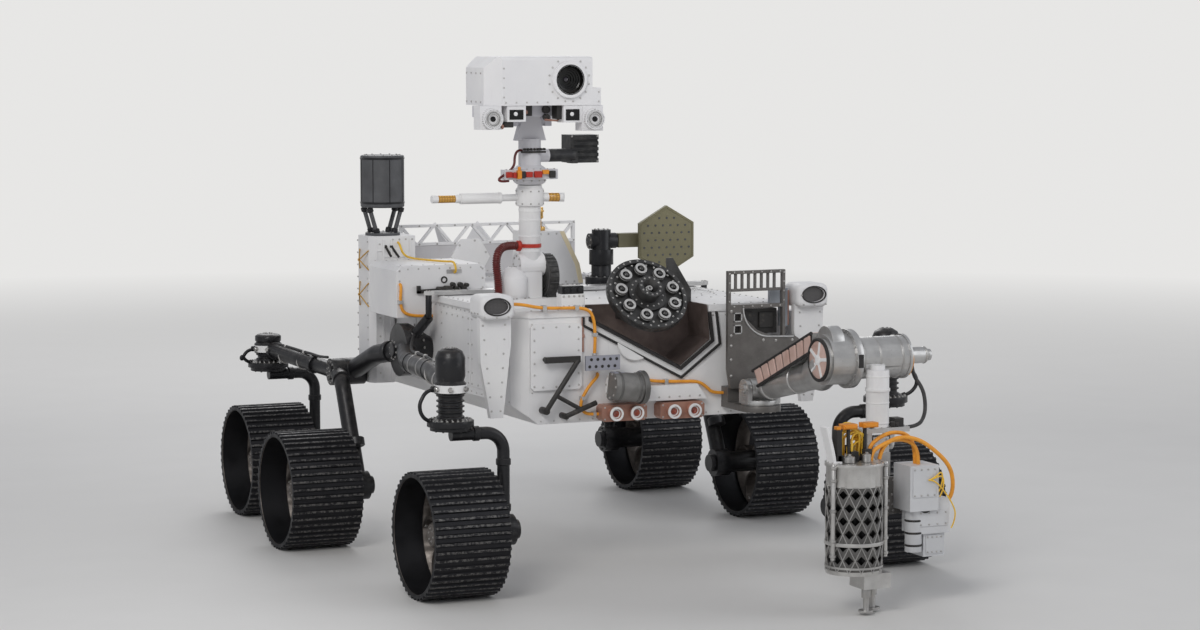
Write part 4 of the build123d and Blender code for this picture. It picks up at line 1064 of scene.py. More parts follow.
# Remote head carrier
# The pan motor's housing turns on top of the mast and holds the tilt axle. It carries a band of
# red and orange plugs, a row of small connectors, and a finned black motor box on an arm.
def carrier_finish():
    """Pale lilac-grey paint, and black anodising on the finned box and its arm."""
    finish = white_finish("carrier_finish", (0.64, 0.635, 0.66), (0.52, 0.515, 0.55), 0.5)
    box = (finish.along("X") > -0.357) * (finish.along("Z") > 1.726)
    finish.over(box, finish.mottle(0.03, 0.4, 0.7, (0.024, 0.024, 0.026), (0.07, 0.068, 0.066)))
    finish.put("Metallic", box * 0.4)
    return finish


dress("mast_yoke", carrier_finish(), edge=1.5)
red = black_finish("red_plugs", (0.46, 0.035, 0.022), (0.62, 0.10, 0.06), 0.4, slot="red_rubber")
orange = black_finish("orange_plugs", (0.80, 0.30, 0.03), (0.85, 0.42, 0.10), 0.4, slot="red_rubber")
CARRIER_FACE = -941
plugs = bmesh.new()
slabs(plugs, (-597, -572, -958, CARRIER_FACE, 1690, 1714), (-568, -552, -956, CARRIER_FACE, 1688, 1712),
      (-508, -478, -954, CARRIER_FACE, 1690, 1713), (-470, -436, -958, CARRIER_FACE, 1688, 1715))
make("red_plugs", plugs, red, "mast_pan", edge=1.5)
plugs = bmesh.new()
slabs(plugs, (-549, -531, -962, CARRIER_FACE, 1684, 1720), (-432, -404, -956, CARRIER_FACE, 1702, 1720))
sleeve(plugs, (-540, -952, 1718), (-540, -952, 1736), 7, 16)
make("orange_plugs", plugs, orange, "mast_pan", edge=1.5)
plugs = bmesh.new()
for x in range(MAST_X - 44, MAST_X + 47, 15):
    sleeve(plugs, (x, MAST_Y - 40, 1806), (x, MAST_Y - 60, 1806), 5.5, 14)
slabs(plugs, (-529, -512, -956, CARRIER_FACE, 1686, 1716), (-400, -374, -956, CARRIER_FACE, 1686, 1716),
      (MAST_X - 56, MAST_X + 54, MAST_Y - 52, MAST_Y - 36, 1790, 1798))
make("carrier_connectors", plugs, dark, "mast_pan", edge=0.8)
screws = bmesh.new()
bolt_row(screws, (-590, -930, 1722), (-370, -930, 1722), 8, UP)
for cos, sin in around(12, 15):
    reach = Vector((cos, sin, 0))
    bolt(screws, spot(MAST_X, MAST_Y, 1672) + reach * 0.068, reach, 3.2)
    bolt(screws, spot(MAST_X, MAST_Y, 1848) + reach * 0.040, UP, 3)
for z in (1746, 1854):
    bolt_row(screws, (-232, -800, z), (-112, -800, z), 2, FRONT)
for z in (1746, 1770, 1830, 1854):
    bolt_row(screws, (-106, -788, z), (-106, -712, z), 3, PORT, 3)
make("carrier_screws", screws, steel, "mast_pan")


# Remote head
# The box that tilts on top of the mast. A laser looks out of its one large eye, behind a baffled
# tube, and two pairs of cameras hang under it. White paint, with a ring of small screws.
head_paint = white_finish("head_paint", (0.82, 0.815, 0.82), (0.73, 0.725, 0.745))
lilac = white_finish("carrier_paint", (0.62, 0.615, 0.65), (0.50, 0.495, 0.54), 0.5)
dress("mast_head", head_paint, edge=2.5)
dress("mast_cameras", head_paint, edge=1.5)
dress("mast_saddle", lilac, edge=1.5)
dark_glass = lens_finish("coated_lens", (0.010, 0.010, 0.016), (0.030, 0.018, 0.035))
dress("telescope_lens", dark_glass)
ring_black = black_finish("baffle_black", (0.006, 0.006, 0.006), (0.03, 0.03, 0.03), 0.24)
LENS_X, LENS_Z = -352, 2102
LENS = (LENS_X, -1064, LENS_Z)
baffles = bmesh.new()
steps = [(-2, 60), (-60, 60), (-60, 12), (-50, 12)]
for depth, radius in ((-50, 21), (-43, 30), (-36, 38.5), (-28, 46), (-19, 52)):
    steps = steps + [(depth, radius), (depth + 6, radius + 1.2)]
turned(baffles, LENS, FRONT, steps + [(-2, 58)], 64, closed=True)
make("eye_baffles", baffles, ring_black, "mast_tilt")
eye = bmesh.new()
turned(eye, LENS, FRONT, [(-59, 12.5), (-53.5, 12), (-50, 8.5), (-48.5, 0.5)], 40)
make("eye_glass", eye, dark_glass, "mast_tilt")
rim = bmesh.new()
turned(rim, LENS, FRONT, [(0, 59.8), (0, 64), (-3, 78), (-13, 79), (-13, 59.8)], 64, closed=True)
make("eye_rim", rim, head_paint, "mast_tilt")

HEAD_LOW, HEAD_HIGH, HEAD_FACE = 1995, 2199, -1050
screws = bmesh.new()
for cos, sin in around(16, 11):
    z = LENS_Z + 92 * sin
    if z < HEAD_HIGH - 12:
        bolt(screws, (LENS_X + 92 * cos, HEAD_FACE, z), FRONT, 3.4)
bolt_row(screws, (-640, HEAD_FACE, 2008), (-450, HEAD_FACE, 2008), 5, FRONT, 3)
bolt_row(screws, (-648, HEAD_FACE, 2030), (-648, HEAD_FACE, 2150), 4, FRONT, 3)
bolt_row(screws, (-216, HEAD_FACE, 2010), (-216, HEAD_FACE, 2050), 2, FRONT, 3)
for z in (2010, 2130):
    bolt_row(screws, (-716, -960, z), (-716, -800, z), 4, STARBOARD)
for x in (-680, -270):
    bolt_row(screws, (x, -790, 2020), (x, -790, 2160), 5, BACK)
make("head_screws", screws, paint_screws, "mast_tilt")
panel = bmesh.new()
slab(panel, (-640, -792, 2020), (-300, -788.5, 2165))
make("head_panels", panel, head_paint, "mast_tilt", edge=0.8)

windows = bmesh.new()
white_faces_and_highlights = bmesh.new()
hoods = bmesh.new()
# column names: x of a square camera, its lowest edge
for x, low in ((-590, 1928), (-334, 1922)):
    slab(windows, (x - 32, -1048, low + 9), (x + 30, -1046, HEAD_LOW - 17))
    middle = (x - 5, -1048, (low + HEAD_LOW - 2) / 2)
    # The small white dome in the middle of each square camera's dark window is a painted highlight.
    turned(white_faces_and_highlights, middle, FRONT, [(0, 8.8), (2, 8.5), (3, 6), (3, 0.5)], 20)
# column names: x and z of a round camera's middle
for x, z in ((-706, 1941.5), (-243, 1936.5)):
    face = spot(x, -1076, z)
    for radius in (40, 33.5, 24.5):
        band(hoods, face + BACK * 0.006, FRONT, radius - 3.5, radius, 6, 44)
    for cos, sin in around(30):
        edge = face + Vector((cos, 0, sin)) * 0.0435
        rod(hoods, edge + BACK * 0.022, edge + BACK * 0.004, 1.8, 6)
    turned(white_faces_and_highlights, face, FRONT, [(-10, 32), (-8, 30), (-7, 0.5)], 32)
    turned(windows, face, FRONT, [(-8.5, 12), (-4, 11.5), (-2.8, 7), (-2.5, 0.5)], 24)
make("camera_windows", windows, ring_black, "mast_tilt")
make("camera_faces_and_painted_highlights", white_faces_and_highlights, head_paint, "mast_tilt")
make("knurled_rings", hoods, pale_metal, "mast_tilt")
under = bmesh.new()
slabs(under, (-548, -536, -990, -976, 1940, 1994), (-520, -494, -985, -974, 1950, 1994),
      (-640, -600, -1036, -980, 1904, 1927.5), (-400, -378, -1030, -974, 1936, 1994))
sleeve(under, (-432, -1000, 1976), (-432, -974, 1976), 16, 24)
sleeve(under, (-432, -1006, 1944), (-432, -974, 1944), 13, 24)
make("head_plugs", under, dark, "mast_tilt", edge=1.2)
brass = bmesh.new()
sleeve(brass, (-656, -1046, 1908), (-656, -1000, 1908), 11, 20)
sleeve(brass, (-528, -1002, 1966), (-528, -974, 1966), 9, 20)
rod(brass, (-448, -1012, 1934), (-392, -1012, 1930), 4.5)
rod(brass, (-392, -1012, 1930), (-372, -1000, 1944), 4.5)
make("head_brass", brass, copper, "mast_tilt")


# Arm bracket and shelf
# A machined grey plate on the hull's nose, cut away in an arc, with an open ribbed frame over
# it. The shelf under it carries the arm's turning seat.
def bracket_finish():
    """Hard-anodised grey with long milling marks and rubbed patches."""
    finish = Finish("bracket_metal", rough=0.42, metal=0.4)
    patches = finish.noise(0.08, 5).between(0.3, 0.7)
    finish.put("Base Color", finish.blend(patches, (0.165, 0.155, 0.147), (0.115, 0.107, 0.10)))
    scuffs = finish.noise(0.01, 4, stretch=(1, 1, 4)).between(0.6, 0.75) * 0.3
    finish.over(scuffs, (0.32, 0.305, 0.29))
    finish.put("Roughness", finish.noise(0.04) * 0.25 + 0.3)
    finish.relief(finish.along("X").wave(0.003) * 0.35 + finish.noise(0.004), 0.0002)
    return finish


arm_grey = bracket_finish()
lilac_grey = white_finish("bracket_cover_paint", (0.36, 0.385, 0.42), (0.26, 0.28, 0.31), 0.45,
                          slot="grey_paint")
dress("arm_bracket", arm_grey, edge=1.5)
dress("arm_shelf", arm_grey)
BRACKET_FACE = HULL_FRONT - 84
SHOULDER_X, SHOULDER_Y, SHOULDER_Z = 430, -1290, 785
# column names: x, z
PLATE_BOLTS = [
    (345, 1004), (345, 1108), (345, 960), (345, 900), (345, 830), (400, 795), (470, 795),
    (535, 795), (575, 860), (620, 890), (660, 925), (640, 975), (560, 975), (500, 980),
]
screws = bmesh.new()
for x, z in PLATE_BOLTS:
    bolt(screws, (x, BRACKET_FACE, z), FRONT, 4.8)
for x in (337, 599):
    bolt_row(screws, (x, BRACKET_FACE, 1150), (x, BRACKET_FACE, 1270), 4, FRONT, 3)
for z in (1275, 1128):
    bolt_row(screws, (360, BRACKET_FACE, z), (580, BRACKET_FACE, z), 6, FRONT, 3)
bolt_circle(screws, (SHOULDER_X, SHOULDER_Y, 690), DOWN, 70, 12, 5)
make("bracket_screws", screws, steel)
rims = bmesh.new()
painted_shadow_blocks = bmesh.new()
for z in (1030, 1082):
    slabs(rims, (357, 362, BRACKET_FACE - 2, BRACKET_FACE, z - 20, z + 20),
          (392, 397, BRACKET_FACE - 2, BRACKET_FACE, z - 20, z + 20),
          (357, 397, BRACKET_FACE - 2, BRACKET_FACE, z - 20, z - 15),
          (357, 397, BRACKET_FACE - 2, BRACKET_FACE, z + 15, z + 20))
    # A dark block behind each small frame is painted shadow in its opening.
    slab(painted_shadow_blocks, (362.5, HULL_FRONT - 70, z - 14.5), (391.5, HULL_FRONT - 66, z + 14.5))
ARC_X, ARC_Z, ARC_RADIUS = 530, 1122, 128
arc = [(ARC_X + ARC_RADIUS * cos, BRACKET_FACE - 1, ARC_Z + ARC_RADIUS * sin)
       for cos, sin in list(around(40, 180))[:11]]
for first, last in zip(arc, arc[1:]):
    rod(rims, first, last, 4, 10)
rod(rims, (ARC_X, BRACKET_FACE - 1, 994), (646, BRACKET_FACE - 1, 990), 4, 10)
make("bracket_edges", rims, silver)
# Dark blocks behind the bracket plate are painted shadow of a dark recess.
slabs(painted_shadow_blocks, (404, 588, HULL_FRONT - 38, HULL_FRONT, 1004, 1112),
      (430, 470, HULL_FRONT - 46, HULL_FRONT - 38, 1060, 1100),
      (500, 566, HULL_FRONT - 46, HULL_FRONT - 38, 1030, 1096))
make("bracket_painted_shadows", painted_shadow_blocks, dark, edge=1)
covers = bmesh.new()
slabs(covers, (560, 606, HULL_FRONT - 34, HULL_FRONT - 6, 1118, 1196),
      (612, 640, HULL_FRONT - 40, HULL_FRONT, 1030, 1196))
make("bracket_covers", covers, lilac_grey, edge=1.5)
strip = bmesh.new()
slab(strip, (644, HULL_FRONT - 30, 1034), (652, HULL_FRONT - 4, 1186))
make("bracket_strip", strip, copper, edge=1)


# Upper arm
# A satin aluminium tube between the shoulder and the elbow, with a flat copper-coloured cable
# track along its side, in hinged links between two black edges, and a spoked reel on the elbow.
def arm_finish(name, axis, mark=0.0018, colour=(0.60, 0.595, 0.585), deep=(0.44, 0.435, 0.43)):
    """Satin aluminium, lightly brushed, with handling marks."""
    finish = Finish(name, "bare_metal", 0.38, 0.85)
    finish.put("Base Color", finish.mottle(0.09, 0.3, 0.7, colour, deep, detail=5))
    finish.over(finish.noise(0.012, 4).between(0.62, 0.74) * 0.35, (0.30, 0.29, 0.285))
    finish.put("Roughness", finish.noise(0.03) * 0.25 + 0.24)
    finish.relief(finish.along(axis).wave(mark) * 0.4 + finish.noise(0.005), 0.00015)
    return finish


satin = arm_finish("satin_aluminium", "Y")
dress("arm_shoulder", satin)
dress("upper_arm", satin)
ELBOW_Y, ELBOW_Z = -1950, 975
TRACK_TOP = ((-1364, 874), (-1880, 1078))
TRACK_LOW = ((-1410, 812), (-1880, 1000))
TRACK_LEFT, TRACK_RIGHT = 368, 452


def track(x, line, share, out=0.0):
    """A place along one edge of the track, pushed out square to it."""
    (y0, z0), (y1, z1) = line
    length = math.hypot(y1 - y0, z1 - z0)
    y = y0 + (y1 - y0) * share - out * (z1 - z0) / length
    z = z0 + (z1 - z0) * share + out * (y1 - y0) / length
    return (x, y, z)


pink = metal_finish("track_links", (0.74, 0.54, 0.48), (0.58, 0.38, 0.32), 0.42, 0.3, "Y", "copper_pink")
links = bmesh.new()
edges = bmesh.new()
LINKS = 8
for number in range(LINKS):
    start = (number + 0.11) / LINKS
    end = (number + 0.89) / LINKS
    for x in (TRACK_LEFT - 9, TRACK_RIGHT - 1):
        corners = [track(x, TRACK_TOP, start, -4), track(x, TRACK_TOP, end, -4)]
        corners = corners + [track(x, TRACK_LOW, end, 3), track(x, TRACK_LOW, start, 3)]
        prism(links, corners, (10, 0, 0))
    corners = [track(TRACK_LEFT, TRACK_TOP, start), track(TRACK_RIGHT, TRACK_TOP, start)]
    corners = corners + [track(TRACK_RIGHT, TRACK_TOP, end), track(TRACK_LEFT, TRACK_TOP, end)]
    prism(links, corners, (0, 0, 4))
make("track_links", links, pink, "arm_upper", edge=3.5)
for x in (TRACK_LEFT - 4, TRACK_RIGHT + 4):
    for line, out in ((TRACK_TOP, 1), (TRACK_LOW, -1)):
        rod(edges, track(x, line, -0.02, out), track(x, line, 1.0, out), 7.5)
# A dark plate along each side of the track shows between the links: painted shade in the gaps.
for x in (TRACK_LEFT - 2, TRACK_RIGHT + 1):
    corners = [track(x, TRACK_TOP, 0), track(x, TRACK_TOP, 1), track(x, TRACK_LOW, 1), track(x, TRACK_LOW, 0)]
    prism(edges, corners, (1, 0, 0))
reel = spot(362, ELBOW_Y, ELBOW_Z)
turned(edges, reel, STARBOARD, [(-4, 76), (6, 78), (8, 84), (4, 90), (-4, 90)], 56, closed=True)
make("track_edges_and_gap_shade", edges, rubber, "arm_upper")
disc = bmesh.new()
turned(disc, reel, STARBOARD, [(0, 77), (2, 77), (2.5, 76)], 56)
make("reel_disc", disc, pink, "arm_upper")
spokes = bmesh.new()
for number in range(5):
    turn = Matrix.Rotation(math.radians(72 * number + 12), 3, PORT)
    reach = turn @ UP
    across = turn @ BACK * 0.007
    inner, outer = reel + reach * 0.018, reel + reach * 0.075
    prism(spokes, [inner - across, inner + across, outer + across, outer - across], (-5, 0, 0))
turned(spokes, reel, STARBOARD, [(0, 22), (6, 22), (8, 17)], 28)
bolt_circle(spokes, reel + STARBOARD * 0.007, STARBOARD, 12, 5, 2.5)
make("reel_spokes", spokes, white, "arm_upper")
fittings = bmesh.new()
screws = bmesh.new()
arm_low = spot(SHOULDER_X, -1388, 806)
arm_high = spot(SHOULDER_X, -1850, 905)
for share in (0.03, 0.55, 0.93):
    sleeve(fittings, arm_low.lerp(arm_high, share), arm_low.lerp(arm_high, share + 0.035), 61.5, 48)
bolt_circle(fittings, (508, ELBOW_Y, ELBOW_Z), PORT, 104, 20, 4.5)
bolt_circle(fittings, (479, ELBOW_Y, ELBOW_Z), STARBOARD, 112.5, 24)
bolt_circle(screws, (SHOULDER_X, SHOULDER_Y, 738), UP, 70, 16)
for side in (-1, 1):
    bolt_circle(fittings, (SHOULDER_X + side * 84, SHOULDER_Y, SHOULDER_Z), PORT * side, 14, 5, 3)
    bolt_circle(screws, (SHOULDER_X + side * 78, SHOULDER_Y, SHOULDER_Z), PORT * side, 34, 8, 3)
make("arm_fittings", fittings, satin, "arm_upper")
window = bmesh.new()
slab(window, (482, -2072.2, 948), (504, -2066, 1002))
make("elbow_window", window, rubber, "arm_upper")
make("shoulder_screws", screws, steel, "arm_azimuth")


# Forearm
# The elbow motor is a polished aluminium drum with a stepped nose. A short white tube hangs
# from it and ends in a plate and a fork that holds the wrist.
TUBE_X, TUBE_Y, TUBE_FOOT = 575, -2060, 704


def forearm_finish():
    """Satin aluminium, and white paint on the upright tube."""
    finish = arm_finish("forearm_finish", "X")
    tube = finish.reach(spot(TUBE_X, TUBE_Y, 0), (1, 1, 0)) < 0.0515
    tube = tube * finish.inside("Z", 0.7045, 0.957) * (finish.along("Y") < DRAWING_Y - 2.018)
    finish.over(tube, finish.mottle(0.1, 0.35, 0.75, (0.80, 0.795, 0.79), (0.70, 0.69, 0.70)))
    finish.put("Metallic", 0.85 - tube * 0.85)
    return finish


dress("forearm", forearm_finish())
fittings = bmesh.new()
# column names: x, radius, how long, steps round
for x, radius, long, steps in ((524, 88.5, 12, 64), (600, 87.5, 12, 64), (704, 88.5, 12, 64),
                               (772, 35.5, 8, 40), (846, 36, 8, 40), (861, 25.5, 8, 40)):
    sleeve(fittings, (x, ELBOW_Y, ELBOW_Z), (x + long, ELBOW_Y, ELBOW_Z), radius, steps)
bolt_circle(fittings, (752, ELBOW_Y, ELBOW_Z), PORT, 76, 16, 4)
bolt_circle(fittings, (752, ELBOW_Y, ELBOW_Z), PORT, 50, 8, 3.5, 0.5)
bolt_circle(fittings, (878, ELBOW_Y, ELBOW_Z), PORT, 14, 6, 2.5)
for x in (486, 690):
    bolt_row(fittings, (x, TUBE_Y - 42, TUBE_FOOT), (x, TUBE_Y + 42, TUBE_FOOT), 4, UP, 3.8)
bolt_circle(fittings, (TUBE_X, TUBE_Y, TUBE_FOOT), UP, 51.5, 10, 3)
for side in (-1, 1):
    bolt_circle(fittings, (TUBE_X + side * 62, TUBE_Y, 640), PORT * side, 25.5, 8, 3)
make("forearm_fittings", fittings, steel, "arm_fore")
bands = bmesh.new()
for z, high in ((716, 10), (800, 6), (906, 10)):
    sleeve(bands, (TUBE_X, TUBE_Y, z), (TUBE_X, TUBE_Y, z + high), 48.5, 48)
make("forearm_bands", bands, white, "arm_fore")
sockets = bmesh.new()
for x, top in ((530, 726), (628, 726), (645, 722)):
    sleeve(sockets, (x, -2092, TUBE_FOOT), (x, -2092, top), 11, 18)
slab(sockets, (640, -2092, TUBE_FOOT), (680, -2040, 738))
make("wrist_sockets", sockets, dark, "arm_fore", edge=1)


# Wrist and turret hub
# The wrist is a machined knuckle, bent down to the turret's axis, with two turned bands. The
# grey hub plate behind the tools is bolted to it, and has bolts for the tools on both faces.
dress("wrist", satin)
dress("turret_hub", arm_grey, edge=1.5)
HUB_X, HUB_Z = 480, 430
fittings = bmesh.new()
for x in (550, 600):
    bolt_row(fittings, (x, -2094, 600), (x, -2094, 655), 3, FRONT, 4)
for z in (590, 650):
    bolt_row(fittings, (612, -2080, z), (612, -2040, z), 2, PORT, 4)
for y0, y1 in ((-2112, -2124), (-2160, -2180)):
    sleeve(fittings, (HUB_X, y0, HUB_Z), (HUB_X, y1, HUB_Z), 78.5, 56)
make("wrist_fittings", fittings, steel, "arm_wrist")
bolts = bmesh.new()
bolt_circle(bolts, (HUB_X, -2224, HUB_Z), FRONT, 75, 12, 4)
bolt_circle(bolts, (HUB_X, -2250, HUB_Z), FRONT, 44, 8, 4)
for z in (384, 508):
    bolt_row(bolts, (560, -2224, z), (705, -2224, z), 5, FRONT)
    bolt_row(bolts, (330, -2202, z), (395, -2202, z), 3, BACK)
    bolt_row(bolts, (570, -2202, z), (705, -2202, z), 5, BACK)
make("hub_bolts", bolts, steel, "arm_turret")


# Corer
# The drill stands in a polished drum whose wall is cut to a diamond lattice. Bright guide rods
# run down its outside, and its lid carries plugs, brackets and the ends of the wires.
CORE_X, CORE_Y, CORE_TOP = 316, -2342, 612


def corer_finish():
    """Polished metal outside, and near black inside the lattice as painted shade."""
    finish = arm_finish("corer_finish", "Z", 0.003, (0.66, 0.65, 0.63), (0.46, 0.45, 0.435))
    radius = finish.reach(spot(CORE_X, CORE_Y, 0), (1, 1, 0))
    wall = (radius < 0.1125) * finish.inside("Z", 0.186, 0.520)
    inner = (radius < 0.1045) * finish.inside("Z", 0.185, 0.597)
    finish.over(wall, finish.mottle(0.05, 0.3, 0.7, (0.17, 0.165, 0.158), (0.10, 0.097, 0.093)))
    # The near black inside the drum is painted shade.
    finish.over(inner, (0.022, 0.022, 0.022))
    return finish


dress("corer", corer_finish(), edge=1.2)
dress("stabilisers", steel, edge=1.2)
NET_ROWS, NET_COLUMNS, NET_PITCH, NET_LOW, NET_HIGH, NET_RADIUS = 7, 14, 52, 180, 521, 112.6
net = bmesh.new()
for number in range(NET_COLUMNS):
    for way in (-1, 1):
        places = []
        for step in range(3 * NET_ROWS + 1):
            rise = step / 3
            turn = 2 * math.pi * (number + 0.5 + way * 0.5 * (rise - 1)) / NET_COLUMNS
            x, y = CORE_X + NET_RADIUS * math.cos(turn), CORE_Y + NET_RADIUS * math.sin(turn)
            places.append((x, y, min(NET_LOW + NET_PITCH * rise, NET_HIGH)))
        for first, last in zip(places, places[1:]):
            rod(net, first, last, 2.2, 6)
make("corer_net", net, steel, "arm_turret")
fittings = bmesh.new()
bolt_circle(fittings, (CORE_X, CORE_Y, CORE_TOP), UP, 108, 20, 3.8)
for z in (196, 602):
    band(fittings, (CORE_X, CORE_Y, z), UP, 112.5, 116.5, 8, 64)
for angle in (-160, -20):
    turn = math.radians(angle)
    x, y = CORE_X + 124 * math.cos(turn), CORE_Y + 124 * math.sin(turn)
    for z in (240, 300, 420, 540, 590):
        sleeve(fittings, (x, y, z), (x, y, z + 14), 14, 20)
# column names: x, y, radius, how high
LID_PLUGS = [(276, -2372, 24, 26), (346, -2386, 18, 34), (254, -2312, 16, 22), (342, -2302, 22, 18)]
for x, y, radius, high in LID_PLUGS:
    sleeve(fittings, (x, y, CORE_TOP), (x, y, CORE_TOP + high), radius, 24)
    bolt(fittings, (x, y, CORE_TOP + high), UP, radius * 0.4)
make("corer_fittings", fittings, steel, "arm_turret")
blocks = bmesh.new()
slabs(blocks, (232, 258, -2362, -2328, CORE_TOP, 642), (298, 332, -2350, -2312, CORE_TOP, 652),
      (360, 392, -2348, -2320, CORE_TOP, 658), (364, 396, -2312, -2282, CORE_TOP, 636),
      (228, 250, -2362, -2322, CORE_TOP, 742), (286, 298, -2340, -2328, CORE_TOP, 744),
      (368, 380, -2326, -2312, CORE_TOP, 744))
make("lid_blocks", blocks, dark, "arm_turret", edge=1.5)
blocks = bmesh.new()
slab(blocks, (230, -2356, 742), (248, -2328, 756))
for x0, x1, z in ((262, 326, 742), (352, 420, 744)):
    slabs(blocks, (x0, x1, -2350, -2308, z, z + 20), (x0 + 6, x1 - 6, -2354, -2304, z + 4, z + 15))
make("wire_blocks", blocks, orange, "arm_turret", edge=2)
shield = bmesh.new()
SHIELD_TOP = [(174, 756), (188, 759), (214, 655), (201, 652)]
SHIELD_FOOT = [(201, 652), (214, 655), (222, 613), (209, 613)]
for outline in (SHIELD_TOP, SHIELD_FOOT):
    prism(shield, [(x, -2370, z) for x, z in outline], (0, 55, 0))
slab(shield, (208, -2375, 611), (244, -2310, 619))
make("corer_shield", shield, white, "arm_turret", edge=1)


# Instruments
# Small boxes of different sizes, painted pale grey, are stacked on the hub opposite the drill.
# They have covers screwed on, a round port with a shutter, and a ringed sensor below.
box_grey = white_finish("instrument_paint", (0.66, 0.665, 0.68), (0.52, 0.525, 0.54), 0.45)
dress("instruments", box_grey, edge=3)
covers = bmesh.new()
screws = bmesh.new()
# column names: left, right, low, high, the face it lies on
FRONT_COVERS = [(572, 678, 452, 572, -2360), (612, 742, 330, 392, -2340), (650, 728, 216, 292, -2330)]
for x0, x1, z0, z1, face in FRONT_COVERS:
    slab(covers, (x0, face - 3, z0), (x1, face, z1))
    for z in (z0 + 8, z1 - 8):
        bolt_row(screws, (x0 + 8, face - 3, z), (x1 - 8, face - 3, z), 4, FRONT, 3)
for z0, z1 in ((470, 560), (410, 450)):
    slab(covers, (690, -2340, z0), (693, -2250, z1))
    for z in (z0 + 7, z1 - 7):
        bolt_row(screws, (693, -2332, z), (693, -2258, z), 3, PORT, 3)
slab(covers, (752, -2320, 320), (755, -2250, 420))
for y in (-2312, -2258):
    bolt_row(screws, (755, y, 330), (755, y, 410), 3, PORT, 3)
SENSOR_X, SENSOR_Y = 604, -2310
bolt_circle(screws, (SENSOR_X, SENSOR_Y, 228), DOWN, 26, 8, 3)
make("instrument_covers", covers, box_grey, "arm_turret", edge=1)
make("instrument_screws", screws, steel, "arm_turret")
port = bmesh.new()
turned(port, (640, -2340, 410), FRONT, [(0, 16), (10, 18), (10, 24), (0, 26)], 36, closed=True)
turned(port, (640, -2338, 410), FRONT, [(0, 17), (3, 16), (5, 0.5)], 28)
for z in (250, 300, 350):
    sleeve(port, (SENSOR_X, SENSOR_Y, z), (SENSOR_X, SENSOR_Y, z + 9), 36.5, 36)
make("instrument_port", port, dark, "arm_turret")


# Cables
# Orange, yellow and black sleeved cables, clipped to what carries them, between plugs and
# sockets. The mast's bundle goes down to the deck in a dark red corrugated hose.
def sleeve_finish(name, colour, deep, rough=0.5):
    """Woven sleeving, slightly soiled."""
    finish = Finish(name, "cable_jacket", rough, Coat_Roughness=0.4)
    weave = finish.noise(0.0016, 1)
    finish.put("Base Color", finish.blend(finish.noise(0.03, 4).between(0.4, 0.8) * 0.7, colour, deep))
    finish.over(weave.between(0.55, 0.7) * 0.35, deep)
    finish.put("Roughness", finish.noise(0.02) * 0.2 + (rough - 0.1))
    finish.relief(weave, 0.0005)
    return finish


def route(name, runs, radius):
    """One smooth curve for each run of given points."""
    curve = bpy.data.curves.new(name, "CURVE")
    curve.dimensions = "3D"
    curve.bevel_depth = radius / 1000
    curve.bevel_resolution = 4
    curve.resolution_u = 8
    curve.use_fill_caps = bool(radius)
    for run in runs:
        line = curve.splines.new("NURBS")
        line.points.add(len(run) - 1)
        for point, place in zip(line.points, run):
            point.co = (*spot(*place), 1)
        line.order_u = 3
        line.use_endpoint_u = True
    piece = bpy.data.objects.new(name, curve)
    bpy.context.scene.collection.objects.link(piece)
    return piece


def cable(name, runs, radius, finish, body, replaced=None):
    """Sleeved cables that ride on a body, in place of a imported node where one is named."""
    piece = route(name, runs, radius)
    piece.data.materials.append(finish.material)
    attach(piece, body)
    if replaced:
        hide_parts(replaced)


orange_sleeve = sleeve_finish("orange_sleeve", (0.86, 0.36, 0.03), (0.55, 0.20, 0.02))
yellow_wire = sleeve_finish("yellow_wire", (0.88, 0.55, 0.05), (0.60, 0.33, 0.03), 0.4)
black_sleeve = sleeve_finish("black_sleeve", (0.028, 0.027, 0.028), (0.07, 0.068, 0.066), 0.55)
dark_red = sleeve_finish("dark_red_rubber", (0.12, 0.012, 0.010), (0.06, 0.008, 0.007), 0.35)
NOSE_RUNS = [
    [(-660, -1136, 1172), (-615, -1136, 1172), (-520, -1126, 1150), (-420, -1122, 1146),
     (-310, -1122, 1144), (-274, -1122, 1112), (-263, -1122, 1030), (-268, -1122, 950)],
    [(-50, HULL_FRONT, 832), (-50, -1116, 832), (10, -1117, 816), (140, -1118, 810),
     (218, -1118, 808), (258, -1118, 784), (290, -1118, 752), (340, -1118, 752)],
    [(-246, HULL_FRONT, 858), (-246, -1122, 858), (-300, -1124, 806), (-337, -1124, 740),
     (-322, -1124, 702), (-292, -1124, 690), (-251, -1124, 690)],
    [(-768, -110, 1180), (-768, -126, 1180), (-774, -126, 1100), (-760, -125, 1054),
     (-700, -124, 1036), (-620, -124, 1036)],
]
COVER_RUN = [(-615, 330, 1336), (-615, 314, 1336), (-608, 288, 1286), (-598, 222, 1270),
             (-560, 60, 1271), (-526, -60, 1272), (-516, -108, 1277), (-510, -127, 1262),
             (-507, -127, 1226), (-507, -110, 1226)]
FRONT_LEAD = [(712, -150, 972), (744, -196, 944), (800, -330, 922), (846, -470, 916),
              (868, -590, 924), (906, -790, 932), (948, -1010, 933), (980, -1180, 924),
              (1004, -1290, 914), (1012, -1330, 908)]
REAR_LEAD = [(918, 452, 806), (926, 540, 800), (936, 622, 806), (950, 700, 809), (980, 880, 820),
             (1000, 990, 824), (1010, 1046, 822)]
cable("nose_cables", NOSE_RUNS, 7, orange_sleeve, "chassis", "clipped_cables")
cable("cover_cable", [COVER_RUN], 5, yellow_wire, "chassis", "clipped_cables")
for side, name in ((1, "left"), (-1, "right")):
    runs = [[on_side(side, place) for place in run] for run in (FRONT_LEAD, REAR_LEAD)]
    cable(f"tube_leads_{name}", runs, 6.5, black_sleeve, "chassis")
clips = bmesh.new()
